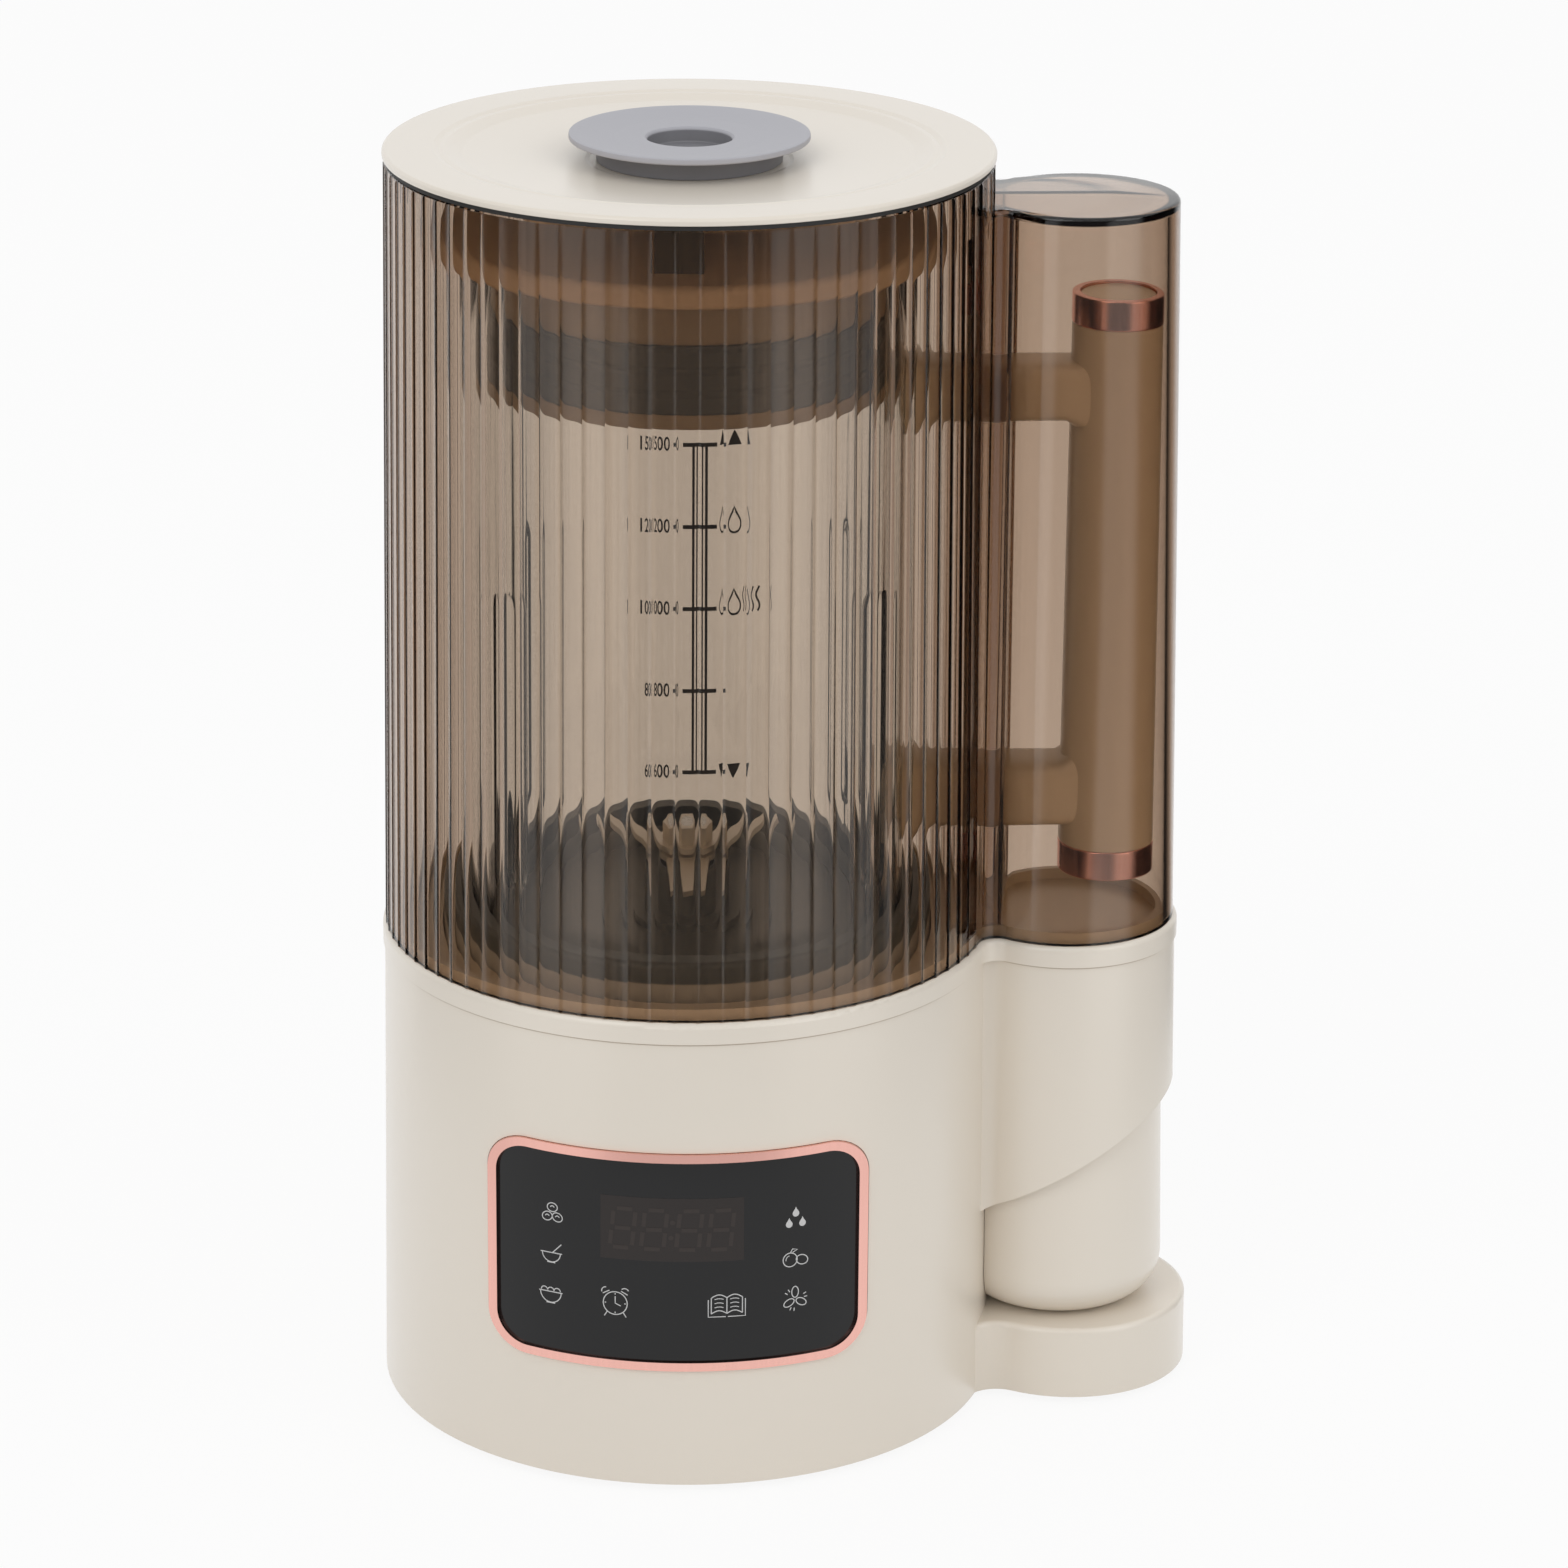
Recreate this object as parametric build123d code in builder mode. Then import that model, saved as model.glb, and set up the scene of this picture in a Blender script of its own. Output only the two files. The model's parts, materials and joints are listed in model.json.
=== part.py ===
from build123d import *
from math import atan, cos, degrees, radians, sin, tan
import os

os.makedirs("parts", exist_ok=True)

# A countertop soy milk maker. The table is Z = 0, the main axis is X = Y = 0, and the side
# column stands on the +X side. Lengths are millimetres and angles are degrees.

# Shared clearances and small sizes
overrun = 10            # how far a cut runs past the piece that it opens
fit_gap = 0.3           # between pieces that are put together and taken apart
seat_gap = 0.1          # round a piece that is pressed or glued into its pocket
shell_wall = 2.6        # wall of the large plastic shells
plate_wall = 2.5        # floors, decks and covers
edge_round = 1.0        # small outer roundings

# The jug's glass sets the width of all that stands round it and under it
glass_radius = 60
glass_wall = 3.4
hood_room = 23.26       # glass to the outside of the hood's foot
hood_inset = 0.24       # hood's foot inside the housing's top edge
body_flare = 1.5        # housing's foot outside its top edge
column_stand = 19.4     # housing's foot to the column's axis

# Base housing: main body, sleeve of the side column and the platform under it
foot_stand = 2
motor_clear = 21.5      # housing's foot to the motor's lower bracket
base_top_radius = glass_radius + hood_room + hood_inset
base_bottom_radius = base_top_radius + body_flare
column_out = base_bottom_radius + column_stand    # main axis to column axis
sleeve_top_radius = 30.8
sleeve_draft = 1.1
sleeve_inner_level = 57.4    # cut edge of the sleeve where it leaves the main body
sleeve_cut_angle = 30.3
sleeve_edge_round = 1.9
neck_round = 5          # concave corner between the body and the column
platform_ahead = 3.2      # platform's middle beyond the column's axis
platform_margin = 2.9     # platform beyond the sleeve's top
platform_out = column_out + platform_ahead
platform_radius = sleeve_top_radius + platform_margin
platform_height = 20.3
platform_neck = 9
platform_round = 1.6
boss_radius = 4.2
display_screw_length = 5.5

# Lower shell of the side column
lower_column_inset = 1
lower_column_radius = sleeve_top_radius - lower_column_inset
lower_column_draft = 1.5
lower_column_round = 12
lower_column_top_gap = 12    # below the housing's top edge

# Deck with the lip, the recess for the jug and the ridge that centres the hood
lip_height = 5.9
lip_proud = 0.5
lip_column_proud = 0.4
lip_radius = base_top_radius + lip_proud
lip_column_radius = sleeve_top_radius + lip_column_proud
lip_round = 1.6
deck_skirt = 6
recess_room = 1.2        # round the jug's collar
recess_floor_drop = 13.9     # deck top down to the recess floor
ridge_height = 3
ridge_width = 2
coupling_hole_radius = 16

# Hood
reed_count = 84
reed_depth = 0.75
hood_taper = 2.36        # hood's top inside its foot
hood_radius = glass_radius + hood_room
hood_top_radius = hood_radius - hood_taper
hood_headroom = 23.7     # glass to the hood's top
hood_wall = 2.8
hood_column_inset = 0.8
hood_column_radius = sleeve_top_radius - hood_column_inset
hood_column_drop = 9.6   # column's top under the hood's top
hood_column_draft = 1.09
hood_column_round = 1.2
gasket_height = 1.2
gasket_inset = 0.4
gasket_radius = hood_top_radius - gasket_inset
gasket_width = 3.4
top_plate_proud = 0.3
top_plate_radius = hood_top_radius + top_plate_proud
top_plate_thickness = 2.1
top_plate_edge_round = 0.9
top_border = 14.2
top_step_width = 7
top_step_radius = top_plate_radius - top_border
top_dish_radius = top_step_radius - top_step_width
top_step_drop = 1.6
top_cone_drop = 2.2
plug_seat_radius = 26.5
plug_hole_radius = 22
clip_count = 4
clip_width = 12.5
clip_thickness = 2
clip_length = 13

# Vent plug
plug_disc_radius = 32
plug_disc_thickness = 2
plug_disc_dish = 1.3
plug_neck_radius = 24.7
plug_neck_height = 5.4
plug_stem_radius = 21.6
plug_stem_height = 4
plug_cup_radius = 11.2
plug_cup_depth = 4.5
plug_edge_round = 0.9

# Jug
glass_height = 190.6
glass_edge_round = 1.5
flow_rib_radius = 3.3
flow_rib_angle = 55      # from the front and the back towards the sides
flow_rib_start = 25
flow_rib_length = 77
glass_inner_radius = glass_radius - glass_wall
collar_proud = 7
collar_radius = glass_radius + collar_proud
recess_radius = collar_radius + recess_room
collar_height = 24.5
collar_wall = 2.5
collar_web_height = 7
collar_round = 1.6
cover_thickness = 2
heating_plate_wall = 1
heating_floor_rise = 5.5
heating_floor_inset = 3.3
heating_floor_radius = glass_inner_radius - heating_floor_inset
collar_web_reach = 2.3   # web under the heating floor's edge
collar_web_inner = heating_floor_radius - collar_web_reach
gasket_rise = 2
element_inset = 22.3
element_ring_radius = heating_floor_radius - element_inset
element_section = 5
probe_radius = 3
probe_inset = 11.3
probe_out = heating_floor_radius - probe_inset
probe_reach = 12

# Jug handle
grip_top_radius = 12.3
grip_bottom_radius = 13.3
grip_room = 3.3          # grip to the inside of the hood's column
grip_out = column_out + hood_column_radius - hood_wall - grip_bottom_radius - grip_room
grip_start = 12.9        # above the deck top
grip_headroom = 26.9     # grip to the top of the hood's column
grip_ring_height = 8.3
grip_ring_wall = 2
grip_cap_sink = 0.6
arm_half_width = 10.5
upper_arm_drop = 34.6    # arm's foot under the grip's top
upper_arm_height = 16.2
lower_arm_rise = 13.9    # arm's foot over the grip's foot
lower_arm_height = 18.7
arm_fairing = 12
arm_pad_width = 34
arm_pad_thickness = 3.5
arm_pad_margin = 3

# Blades and their bearing
shaft_radius = 4
hub_radius = 10
hub_flange_radius = 17
hub_flange_thickness = 2
hub_rise = 15            # above the heating plate's floor
hub_drop = 5.5           # below it
bearing_radius = 8
bearing_height = 6
bearing_spacing = 8
seal_height = 4
hub_nut_radius = 15
hub_nut_height = 4
blade_reach = 27
blade_root_width = 13
blade_tip_width = 5
blade_thickness = 1.6
blade_bend = 22
blade_nut_radius = 7
blade_root_radius = 9
blade_nut_height = 5
jug_coupling_radius = 14
jug_coupling_height = 8
star_arms = 6
star_radius = 9.5
star_root_radius = 6
star_arm_width = 4.2
star_height = 6

# Jug lid
lid_proud = 8
lid_radius = glass_radius + lid_proud
lid_height = 6
lid_round = 2.2
lid_plug_room = 2.2      # to the inside of the glass
lid_plug_radius = glass_inner_radius - lid_plug_room
lid_plug_wall = 2.4
lid_plug_depth = 34.6
lid_lip_height = 3.8
lid_lip_room = 0.6
lid_lip_radius = glass_inner_radius - lid_lip_room
lid_seal_height = 18.2
lid_seal_room = 0.4
lid_seal_radius = glass_inner_radius - lid_seal_room
lid_seal_lip = 1.2
lid_seal_lips = 3
valve_radius = 9
valve_height = 3
valve_stem_radius = 4.5
lid_vent_radius = 4.6

# Control panel
panel_turn = 4           # the panel looks a little away from the column
lens_half_angle = 35
lens_height = 57.7
lens_middle = 65.1       # above the housing's bottom edge
lens_corner = 8.5
lens_depth = 1.6
bezel_width = 2.4
bezel_proud = 0.9
bezel_round = 0.5
window_ledge = 4
board_inset = 19         # display board behind the housing's foot radius
board_out = base_bottom_radius - board_inset
board_thickness = 1.6
board_half_width = 38
board_height = 62
board_screw_inset = 2.5
display_width = 38.8
display_height = 18.4
display_side = -1.1      # display middle left of the panel middle
display_rise = 9.2       # display middle above the lens middle
display_inset = 5.9
display_out = base_bottom_radius - display_inset
touch_spring_radius = 3.2
touch_spring_wall = 0.6
touch_columns_share = (-0.70, -0.34, 0.28, 0.67)
touch_side_rows = (11.1, -1, -12.6)
touch_low_row = -12.4

# Motor, hung under the deck
motor_boss_height = 8
damper_height = 4
damper_radius = 7
motor_hang = 39          # half the spacing of the hanging points
bracket_half = 46
bracket_thickness = 3
bearing_cup_radius = 13.5
motor_bearing_radius = 11
motor_bearing_height = 7
fan_gap = 1.5
fan_height = 8.5
fan_radius = 34
fan_hub_radius = 9
fan_blades = 11
fan_blade_thickness = 1.4
stator_half = 37
stator_corner = 12
stator_height = 40
stator_drop = 18.5       # top bracket down to the stator
stator_bore = 26
pole_half_width = 10.5
slot_half_width = 22.5
slot_depth = 8
coil_overhang = 6
coil_gap = 0.3
post_place = 29
post_radius = 5.5
armature_radius = 24.6
armature_slots = 12
armature_slot_width = 2.4
armature_slot_depth = 8
winding_height = 5.5
winding_radius = 20.5
commutator_radius = 11
commutator_height = 12
lower_bracket_drop = 22
brush_length = 17
brush_width = 6
brush_height = 9
brush_holder_wall = 1.4
brush_gap = 0.3
motor_screw_radius = 2

# Power board, mains inlet, jug socket, feet and screws
power_board_out = 64
power_board_half = 28
power_board_height = 74
rail_width = 5
rail_height = 7
rail_length = 6
relay_size = (13, 16, 20)
choke_size = (12, 22, 18)
capacitor_radius = 6
capacitor_height = 14
inlet_half_width = 14
inlet_half_height = 10.5
inlet_level = 42
inlet_corner = 3
inlet_depth = 22
inlet_flange = 2.5
inlet_flange_thickness = 1.8
inlet_wall = 2
inlet_cavity_depth = 16
inlet_pin_size = (2, 4)
inlet_pin_reach = 9
inlet_pin_spacing = 7
socket_inset = 23
socket_out = collar_radius - socket_inset
socket_half_length = 12
socket_half_width = 6
socket_drop = 6
contact_radius = 1.5
contact_spacing = 8
contact_rise = 6
foot_radius = 8
foot_inset = 23
foot_out = base_bottom_radius - foot_inset
foot_stem_radius = 3
foot_stem_height = 5
screw_head_radius = 3.6
screw_head_height = 2.2
screw_radius = 1.6
bottom_boss_inset = 7.2
bottom_boss_out = base_bottom_radius - bottom_boss_inset
bottom_boss_radius = 5.2
bottom_boss_height = 24
vent_slot_length = 34
vent_slot_width = 3
vent_slot_pitch = 8
vent_slot_count = 5

# Heights and levels that follow from the sizes above
motor_hang_height = motor_boss_height + damper_height + bracket_thickness + stator_drop
base_height = (
    motor_clear
    + lower_bracket_drop
    + stator_height
    + motor_hang_height
    + plate_wall
    + recess_floor_drop
    - lip_height
)
glass_stand = collar_web_height + plate_wall + heating_plate_wall + gasket_rise
hood_height = glass_height + glass_stand + hood_headroom - recess_floor_drop
hood_column_height = hood_height - hood_column_drop
grip_height = hood_column_height - grip_start - grip_headroom
upper_arm_start = grip_start + grip_height - upper_arm_drop
lower_arm_start = grip_start + lower_arm_rise
housing_foot_level = foot_stand
housing_top_level = housing_foot_level + base_height
deck_level = housing_top_level + lip_height
recess_level = deck_level - recess_floor_drop
base_draft = degrees(atan((base_bottom_radius - base_top_radius) / base_height))
platform_level = housing_foot_level + platform_height
hood_top_level = deck_level + hood_height
plate_level = hood_top_level + gasket_height
plate_top_level = plate_level + top_plate_thickness
plug_seat_level = plate_top_level - top_step_drop - top_cone_drop
jug_foot_level = recess_level
web_top_level = jug_foot_level + collar_web_height + plate_wall
glass_foot_level = web_top_level + heating_plate_wall + gasket_rise
glass_top_level = glass_foot_level + glass_height
heating_floor_level = web_top_level + heating_floor_rise
lens_level = housing_foot_level + lens_middle
lens_half_width = base_bottom_radius * sin(radians(lens_half_angle))
grip_level = deck_level + grip_start
grip_top_level = grip_level + grip_height
motor_top_level = recess_level - plate_wall - motor_boss_height - damper_height
stator_top_level = motor_top_level - bracket_thickness - stator_drop
stator_foot_level = stator_top_level - stator_height
lower_bracket_level = stator_foot_level - lower_bracket_drop
star_level = recess_level - fit_gap


def keyhole(level, main_radius, lobe_radius, neck, lobe_out=column_out):
    """Main circle and column circle in one outline, with their two inner corners rounded."""
    with BuildSketch(Plane.XY.offset(level)) as outline:
        Circle(main_radius)
        with Locations((lobe_out, 0)):
            Circle(lobe_radius)
        corners = outline.vertices().filter_by(lambda corner: abs(corner.Y) > neck)
        fillet(corners, neck)
    return outline.sketch


def round_bar(level, height, outer, inner=0, places=((0, 0),), mode=Mode.ADD, taper=0):
    """Upright discs, or rings where inner is given, on one level."""
    with BuildSketch(Plane.XY.offset(level)) as section:
        with Locations(*places):
            Circle(outer)
            if inner:
                Circle(inner, mode=Mode.SUBTRACT)
    extrude(to_extrude=section.sketch, amount=height, taper=taper, mode=mode)


def square_bar(level, height, length, width, places=((0, 0),), corner=0, mode=Mode.ADD):
    """Upright blocks on one level."""
    with BuildSketch(Plane.XY.offset(level)) as section:
        with Locations(*places):
            if corner:
                RectangleRounded(length, width, corner)
            else:
                Rectangle(length, width)
    extrude(to_extrude=section.sketch, amount=height, mode=mode)


def turned(*points, mode=Mode.ADD):
    """A body of revolution about the main axis from points given as radius and level."""
    with BuildSketch(Plane.XZ) as profile:
        with BuildLine():
            Polyline(*points, close=True)
        make_face()
    revolve(profile.sketch, axis=Axis.Z, mode=mode)


def around(radius, angles):
    """Places on a circle about the main axis."""
    return [(radius * cos(radians(angle)), radius * sin(radians(angle))) for angle in angles]


def corner_places(half):
    """The four corners of a square about the main axis."""
    return [(half * side, half * way) for side in (-1, 1) for way in (-1, 1)]


def panel_plane(depth, level=0):
    """The upright plane that faces the user, at a depth from the main axis."""
    turn = radians(panel_turn)
    outward = Vector(-sin(turn), -cos(turn), 0)
    place = outward * depth + Vector(0, 0, level)
    return Plane(origin=place, x_dir=(cos(turn), -sin(turn), 0), z_dir=outward)


def panel_outline(grow):
    """The lens outline made larger or smaller by one amount all round."""
    with BuildSketch(panel_plane(0, lens_level)) as outline:
        RectangleRounded(
            2 * (lens_half_width + grow), lens_height + 2 * grow, lens_corner + grow
        )
    return outline.sketch


def body_cone(grow, mode=Mode.ADD):
    """The main body's tapered outside, made larger or smaller by one amount."""
    round_bar(housing_foot_level, base_height, base_bottom_radius + grow, taper=base_draft, mode=mode)


def screws(plane, places, length):
    """Round-headed screws whose shanks run along the plane's direction from the heads."""
    with BuildPart() as group:
        with BuildSketch(plane):
            with Locations(*places):
                Circle(screw_head_radius)
        extrude(amount=-screw_head_height)
        with BuildSketch(plane):
            with Locations(*places):
                Circle(screw_radius)
        extrude(amount=length)
    return group


def save(piece, name):
    """Label a finished piece and write it."""
    piece.part.label = name
    export_step(piece.part, f"parts/{name}.step")


# Base housing
bottom_boss_places = around(bottom_boss_out, (45, 135, 225, 315))
board_boss_places = [
    (side * (board_half_width - board_screw_inset), way * (board_height / 2 - board_screw_inset))
    for side in (-1, 1)
    for way in (-1, 1)
]
sleeve_foot_radius = sleeve_top_radius + (housing_top_level - sleeve_inner_level) * tan(
    radians(sleeve_draft)
)

with BuildPart() as sleeve:
    extrude(
        keyhole(
            sleeve_inner_level - overrun,
            base_top_radius - shell_wall / 2,
            sleeve_foot_radius,
            neck_round,
        ),
        amount=housing_top_level - sleeve_inner_level + overrun,
        taper=sleeve_draft,
    )
    cut_plane = Plane(
        origin=(base_bottom_radius, 0, sleeve_inner_level),
        x_dir=(cos(radians(sleeve_cut_angle)), 0, sin(radians(sleeve_cut_angle))),
        z_dir=(-sin(radians(sleeve_cut_angle)), 0, cos(radians(sleeve_cut_angle))),
    )
    split(bisect_by=cut_plane, keep=Keep.TOP)
    fillet(sleeve.faces().sort_by(Axis.Z)[0].edges(), sleeve_edge_round)
    round_bar(
        sleeve_inner_level - overrun,
        base_height,
        sleeve_foot_radius - shell_wall,
        places=((column_out, 0),),
        taper=sleeve_draft,
        mode=Mode.SUBTRACT,
    )

with BuildPart() as panel_pocket:
    body_cone(overrun)
    body_cone(-lens_depth, mode=Mode.SUBTRACT)
    extrude(panel_outline(bezel_width + seat_gap), amount=base_bottom_radius * 2, mode=Mode.INTERSECT)

with BuildPart() as board_bosses:
    with BuildSketch(panel_plane(board_out + board_thickness, lens_level)):
        with Locations(*board_boss_places):
            Circle(boss_radius - edge_round)
    extrude(amount=base_bottom_radius)
    with BuildSketch(panel_plane(board_out, lens_level)):
        with Locations(*board_boss_places):
            Circle(screw_radius + seat_gap)
    extrude(amount=display_screw_length + fit_gap, mode=Mode.SUBTRACT)
    body_cone(-(shell_wall + lens_depth) / 2, mode=Mode.INTERSECT)

with BuildPart() as base_housing:
    body_cone(0)
    add(sleeve.part)
    platform = keyhole(
        housing_foot_level,
        base_bottom_radius - edge_round,
        platform_radius,
        platform_neck,
        platform_out,
    )
    extrude(platform, amount=platform_height, taper=base_draft)
    platform_edges = (
        base_housing.faces()
        .filter_by(Axis.Z)
        .filter_by(lambda face: abs(face.center().Z - platform_level) < fit_gap)
        .edges()
        .filter_by(lambda edge: edge.center().X > column_out)
    )
    fillet(platform_edges, platform_round)
    body_cone(-shell_wall, mode=Mode.SUBTRACT)
    round_bar(
        housing_foot_level,
        platform_height - plate_wall,
        platform_radius - shell_wall,
        places=((platform_out, 0),),
        mode=Mode.SUBTRACT,
    )
    extrude(
        keyhole(
            housing_foot_level,
            base_bottom_radius - shell_wall,
            platform_radius - shell_wall,
            platform_neck + shell_wall,
            platform_out,
        ),
        amount=plate_wall,
        mode=Mode.SUBTRACT,
    )
    round_bar(
        platform_level - plate_wall,
        plate_wall,
        screw_radius + seat_gap,
        places=((platform_out, 0),),
        mode=Mode.SUBTRACT,
    )
    add(panel_pocket.part, mode=Mode.SUBTRACT)
    extrude(panel_outline(-window_ledge), amount=base_bottom_radius * 2, mode=Mode.SUBTRACT)
    add(board_bosses.part)
    round_bar(
        housing_foot_level + plate_wall,
        bottom_boss_height,
        bottom_boss_radius,
        places=bottom_boss_places,
    )
    round_bar(
        housing_foot_level + plate_wall,
        bottom_boss_height - plate_wall,
        screw_radius + seat_gap,
        places=bottom_boss_places,
        mode=Mode.SUBTRACT,
    )
    with BuildSketch(Plane.XZ.offset(-base_bottom_radius - overrun)):
        with Locations((0, housing_foot_level + inlet_level)):
            RectangleRounded(
                2 * (inlet_half_width + seat_gap), 2 * (inlet_half_height + seat_gap), inlet_corner
            )
    extrude(amount=inlet_depth + overrun, mode=Mode.SUBTRACT)
save(base_housing, "base_housing")

with BuildPart() as column_lower_shell:
    round_bar(
        platform_level,
        housing_top_level - lower_column_top_gap - platform_level,
        lower_column_radius,
        places=((column_out, 0),),
        taper=lower_column_draft,
    )
    fillet(column_lower_shell.edges().group_by(Axis.Z)[0], lower_column_round)
    round_bar(
        platform_level + plate_wall,
        base_height,
        lower_column_radius - lower_column_round + plate_wall,
        places=((column_out, 0),),
        mode=Mode.SUBTRACT,
    )
    round_bar(
        platform_level + lower_column_round,
        base_height,
        lower_column_radius - shell_wall,
        places=((column_out, 0),),
        taper=lower_column_draft,
        mode=Mode.SUBTRACT,
    )
    round_bar(
        platform_level,
        overrun,
        boss_radius,
        places=((platform_out, 0),),
    )
    round_bar(
        platform_level,
        overrun,
        screw_radius + seat_gap,
        places=((platform_out, 0),),
        mode=Mode.SUBTRACT,
    )
    body_cone(seat_gap, mode=Mode.SUBTRACT)
save(column_lower_shell, "column_lower_shell")

# Deck
ridge_radius = hood_radius - hood_wall - fit_gap
ridge_column_radius = hood_column_radius - hood_wall - fit_gap
ridge_neck = neck_round + hood_wall + fit_gap
skirt_gap = shell_wall + fit_gap
hang_places = corner_places(motor_hang)

with BuildPart() as base_deck:
    extrude(keyhole(housing_top_level, lip_radius, lip_column_radius, neck_round), amount=lip_height)
    fillet(base_deck.faces().sort_by(Axis.Z)[-1].edges(), lip_round)
    round_bar(housing_top_level - deck_skirt, deck_skirt, base_top_radius - skirt_gap)
    round_bar(
        housing_top_level - deck_skirt,
        deck_skirt + lip_height - plate_wall,
        base_top_radius - skirt_gap - plate_wall,
        mode=Mode.SUBTRACT,
    )
    round_bar(
        housing_top_level,
        lip_height - plate_wall,
        sleeve_top_radius - skirt_gap - plate_wall,
        places=((column_out, 0),),
        mode=Mode.SUBTRACT,
    )
    extrude(
        keyhole(deck_level, ridge_radius, ridge_column_radius, ridge_neck),
        amount=ridge_height,
    )
    extrude(
        keyhole(
            deck_level,
            ridge_radius - ridge_width,
            ridge_column_radius - ridge_width,
            ridge_neck + ridge_width,
        ),
        amount=ridge_height,
        mode=Mode.SUBTRACT,
    )
    round_bar(
        recess_level - plate_wall, recess_floor_drop, recess_radius + plate_wall
    )
    round_bar(recess_level, recess_floor_drop, recess_radius, mode=Mode.SUBTRACT)
    round_bar(recess_level - plate_wall, plate_wall, coupling_hole_radius, mode=Mode.SUBTRACT)
    round_bar(
        recess_level - plate_wall - motor_boss_height,
        motor_boss_height,
        boss_radius,
        places=hang_places,
    )
    round_bar(
        recess_level - plate_wall - motor_boss_height,
        motor_boss_height,
        screw_radius + seat_gap,
        places=hang_places,
        mode=Mode.SUBTRACT,
    )
    square_bar(
        recess_level - plate_wall,
        plate_wall,
        2 * (socket_half_width + seat_gap),
        2 * (socket_half_length + seat_gap),
        places=((-socket_out, 0),),
        mode=Mode.SUBTRACT,
    )
save(base_deck, "base_deck")

contact_places = [(-socket_out, step * contact_spacing) for step in (-1, 0, 1)]
with BuildPart() as jug_socket:
    square_bar(
        recess_level - socket_drop,
        socket_drop,
        2 * socket_half_width,
        2 * socket_half_length,
        places=((-socket_out, 0),),
    )
    square_bar(
        recess_level - socket_drop,
        socket_drop - plate_wall,
        2 * (socket_half_width + plate_wall),
        2 * (socket_half_length + plate_wall),
        places=((-socket_out, 0),),
    )
    round_bar(
        recess_level - socket_drop,
        socket_drop,
        contact_radius,
        places=contact_places,
        mode=Mode.SUBTRACT,
    )
save(jug_socket, "jug_socket")

with BuildPart() as socket_contacts:
    round_bar(
        recess_level - socket_drop,
        socket_drop + contact_rise,
        contact_radius,
        places=contact_places,
    )
save(socket_contacts, "socket_contacts")

# Bottom plate, feet and screws
foot_places = around(foot_out, (45, 135, 225, 315))
rail_places = [(-power_board_out, side * (power_board_half - rail_length / 2)) for side in (-1, 1)]
with BuildPart() as bottom_plate:
    extrude(
        keyhole(
            housing_foot_level,
            base_bottom_radius - shell_wall - fit_gap,
            platform_radius - shell_wall - fit_gap,
            platform_neck + shell_wall + fit_gap,
            platform_out,
        ),
        amount=plate_wall,
    )
    round_bar(
        housing_foot_level, plate_wall, foot_stem_radius, places=foot_places, mode=Mode.SUBTRACT
    )
    round_bar(
        housing_foot_level,
        plate_wall,
        screw_radius + seat_gap,
        places=bottom_boss_places,
        mode=Mode.SUBTRACT,
    )
    round_bar(
        housing_foot_level,
        screw_head_height,
        screw_head_radius + seat_gap,
        places=bottom_boss_places,
        mode=Mode.SUBTRACT,
    )
    with BuildSketch(Plane.XY.offset(housing_foot_level)):
        with GridLocations(0, vent_slot_pitch, 1, vent_slot_count):
            SlotOverall(vent_slot_length, vent_slot_width)
    extrude(amount=plate_wall, mode=Mode.SUBTRACT)
    square_bar(
        housing_foot_level + plate_wall,
        rail_height,
        rail_width,
        rail_length,
        places=rail_places,
    )
    square_bar(
        housing_foot_level + 2 * plate_wall,
        rail_height,
        board_thickness + 2 * seat_gap,
        2 * (power_board_half + seat_gap),
        places=((-power_board_out, 0),),
        mode=Mode.SUBTRACT,
    )
save(bottom_plate, "bottom_plate")

with BuildPart() as feet:
    round_bar(0, foot_stand, foot_radius, places=foot_places + [(platform_out, 0)])
    round_bar(foot_stand, foot_stem_height, foot_stem_radius - seat_gap, places=foot_places)
save(feet, "feet")

bottom_screws = screws(
    Plane.XY.offset(housing_foot_level + screw_head_height),
    bottom_boss_places,
    bottom_boss_height / 2,
)
column_screw = screws(
    Plane.XY.offset(platform_level - plate_wall), ((platform_out, 0),), plate_wall + overrun - edge_round
)
display_screws = screws(panel_plane(board_out, lens_level), board_boss_places, display_screw_length)
with BuildPart() as case_screws:
    add(bottom_screws.part)
    add(column_screw.part)
    add(display_screws.part)
save(case_screws, "case_screws")

# Control panel
with BuildPart() as panel_lens:
    body_cone(0)
    body_cone(-lens_depth, mode=Mode.SUBTRACT)
    extrude(panel_outline(-seat_gap), amount=base_bottom_radius * 2, mode=Mode.INTERSECT)
save(panel_lens, "panel_lens")

with BuildPart() as panel_bezel:
    body_cone(bezel_proud)
    body_cone(-lens_depth, mode=Mode.SUBTRACT)
    extrude(panel_outline(bezel_width), amount=base_bottom_radius * 2, mode=Mode.INTERSECT)
    extrude(panel_outline(0), amount=base_bottom_radius * 2, mode=Mode.SUBTRACT)
    outer_face = panel_bezel.faces().filter_by(GeomType.CONE).sort_by(SortBy.AREA)[-1]
    fillet(outer_face.edges(), bezel_round)
save(panel_bezel, "panel_bezel")

with BuildPart() as display_board:
    with BuildSketch(panel_plane(board_out, lens_level)):
        Rectangle(2 * board_half_width, board_height)
        with Locations(*board_boss_places):
            Circle(screw_radius + seat_gap, mode=Mode.SUBTRACT)
    extrude(amount=board_thickness)
save(display_board, "display_board")

display_place = (display_side, display_rise)
with BuildPart() as display_module:
    with BuildSketch(panel_plane(board_out + board_thickness, lens_level)):
        with Locations(display_place):
            Rectangle(display_width, display_height)
    extrude(amount=display_out - board_out - board_thickness)
save(display_module, "display_module")

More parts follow.
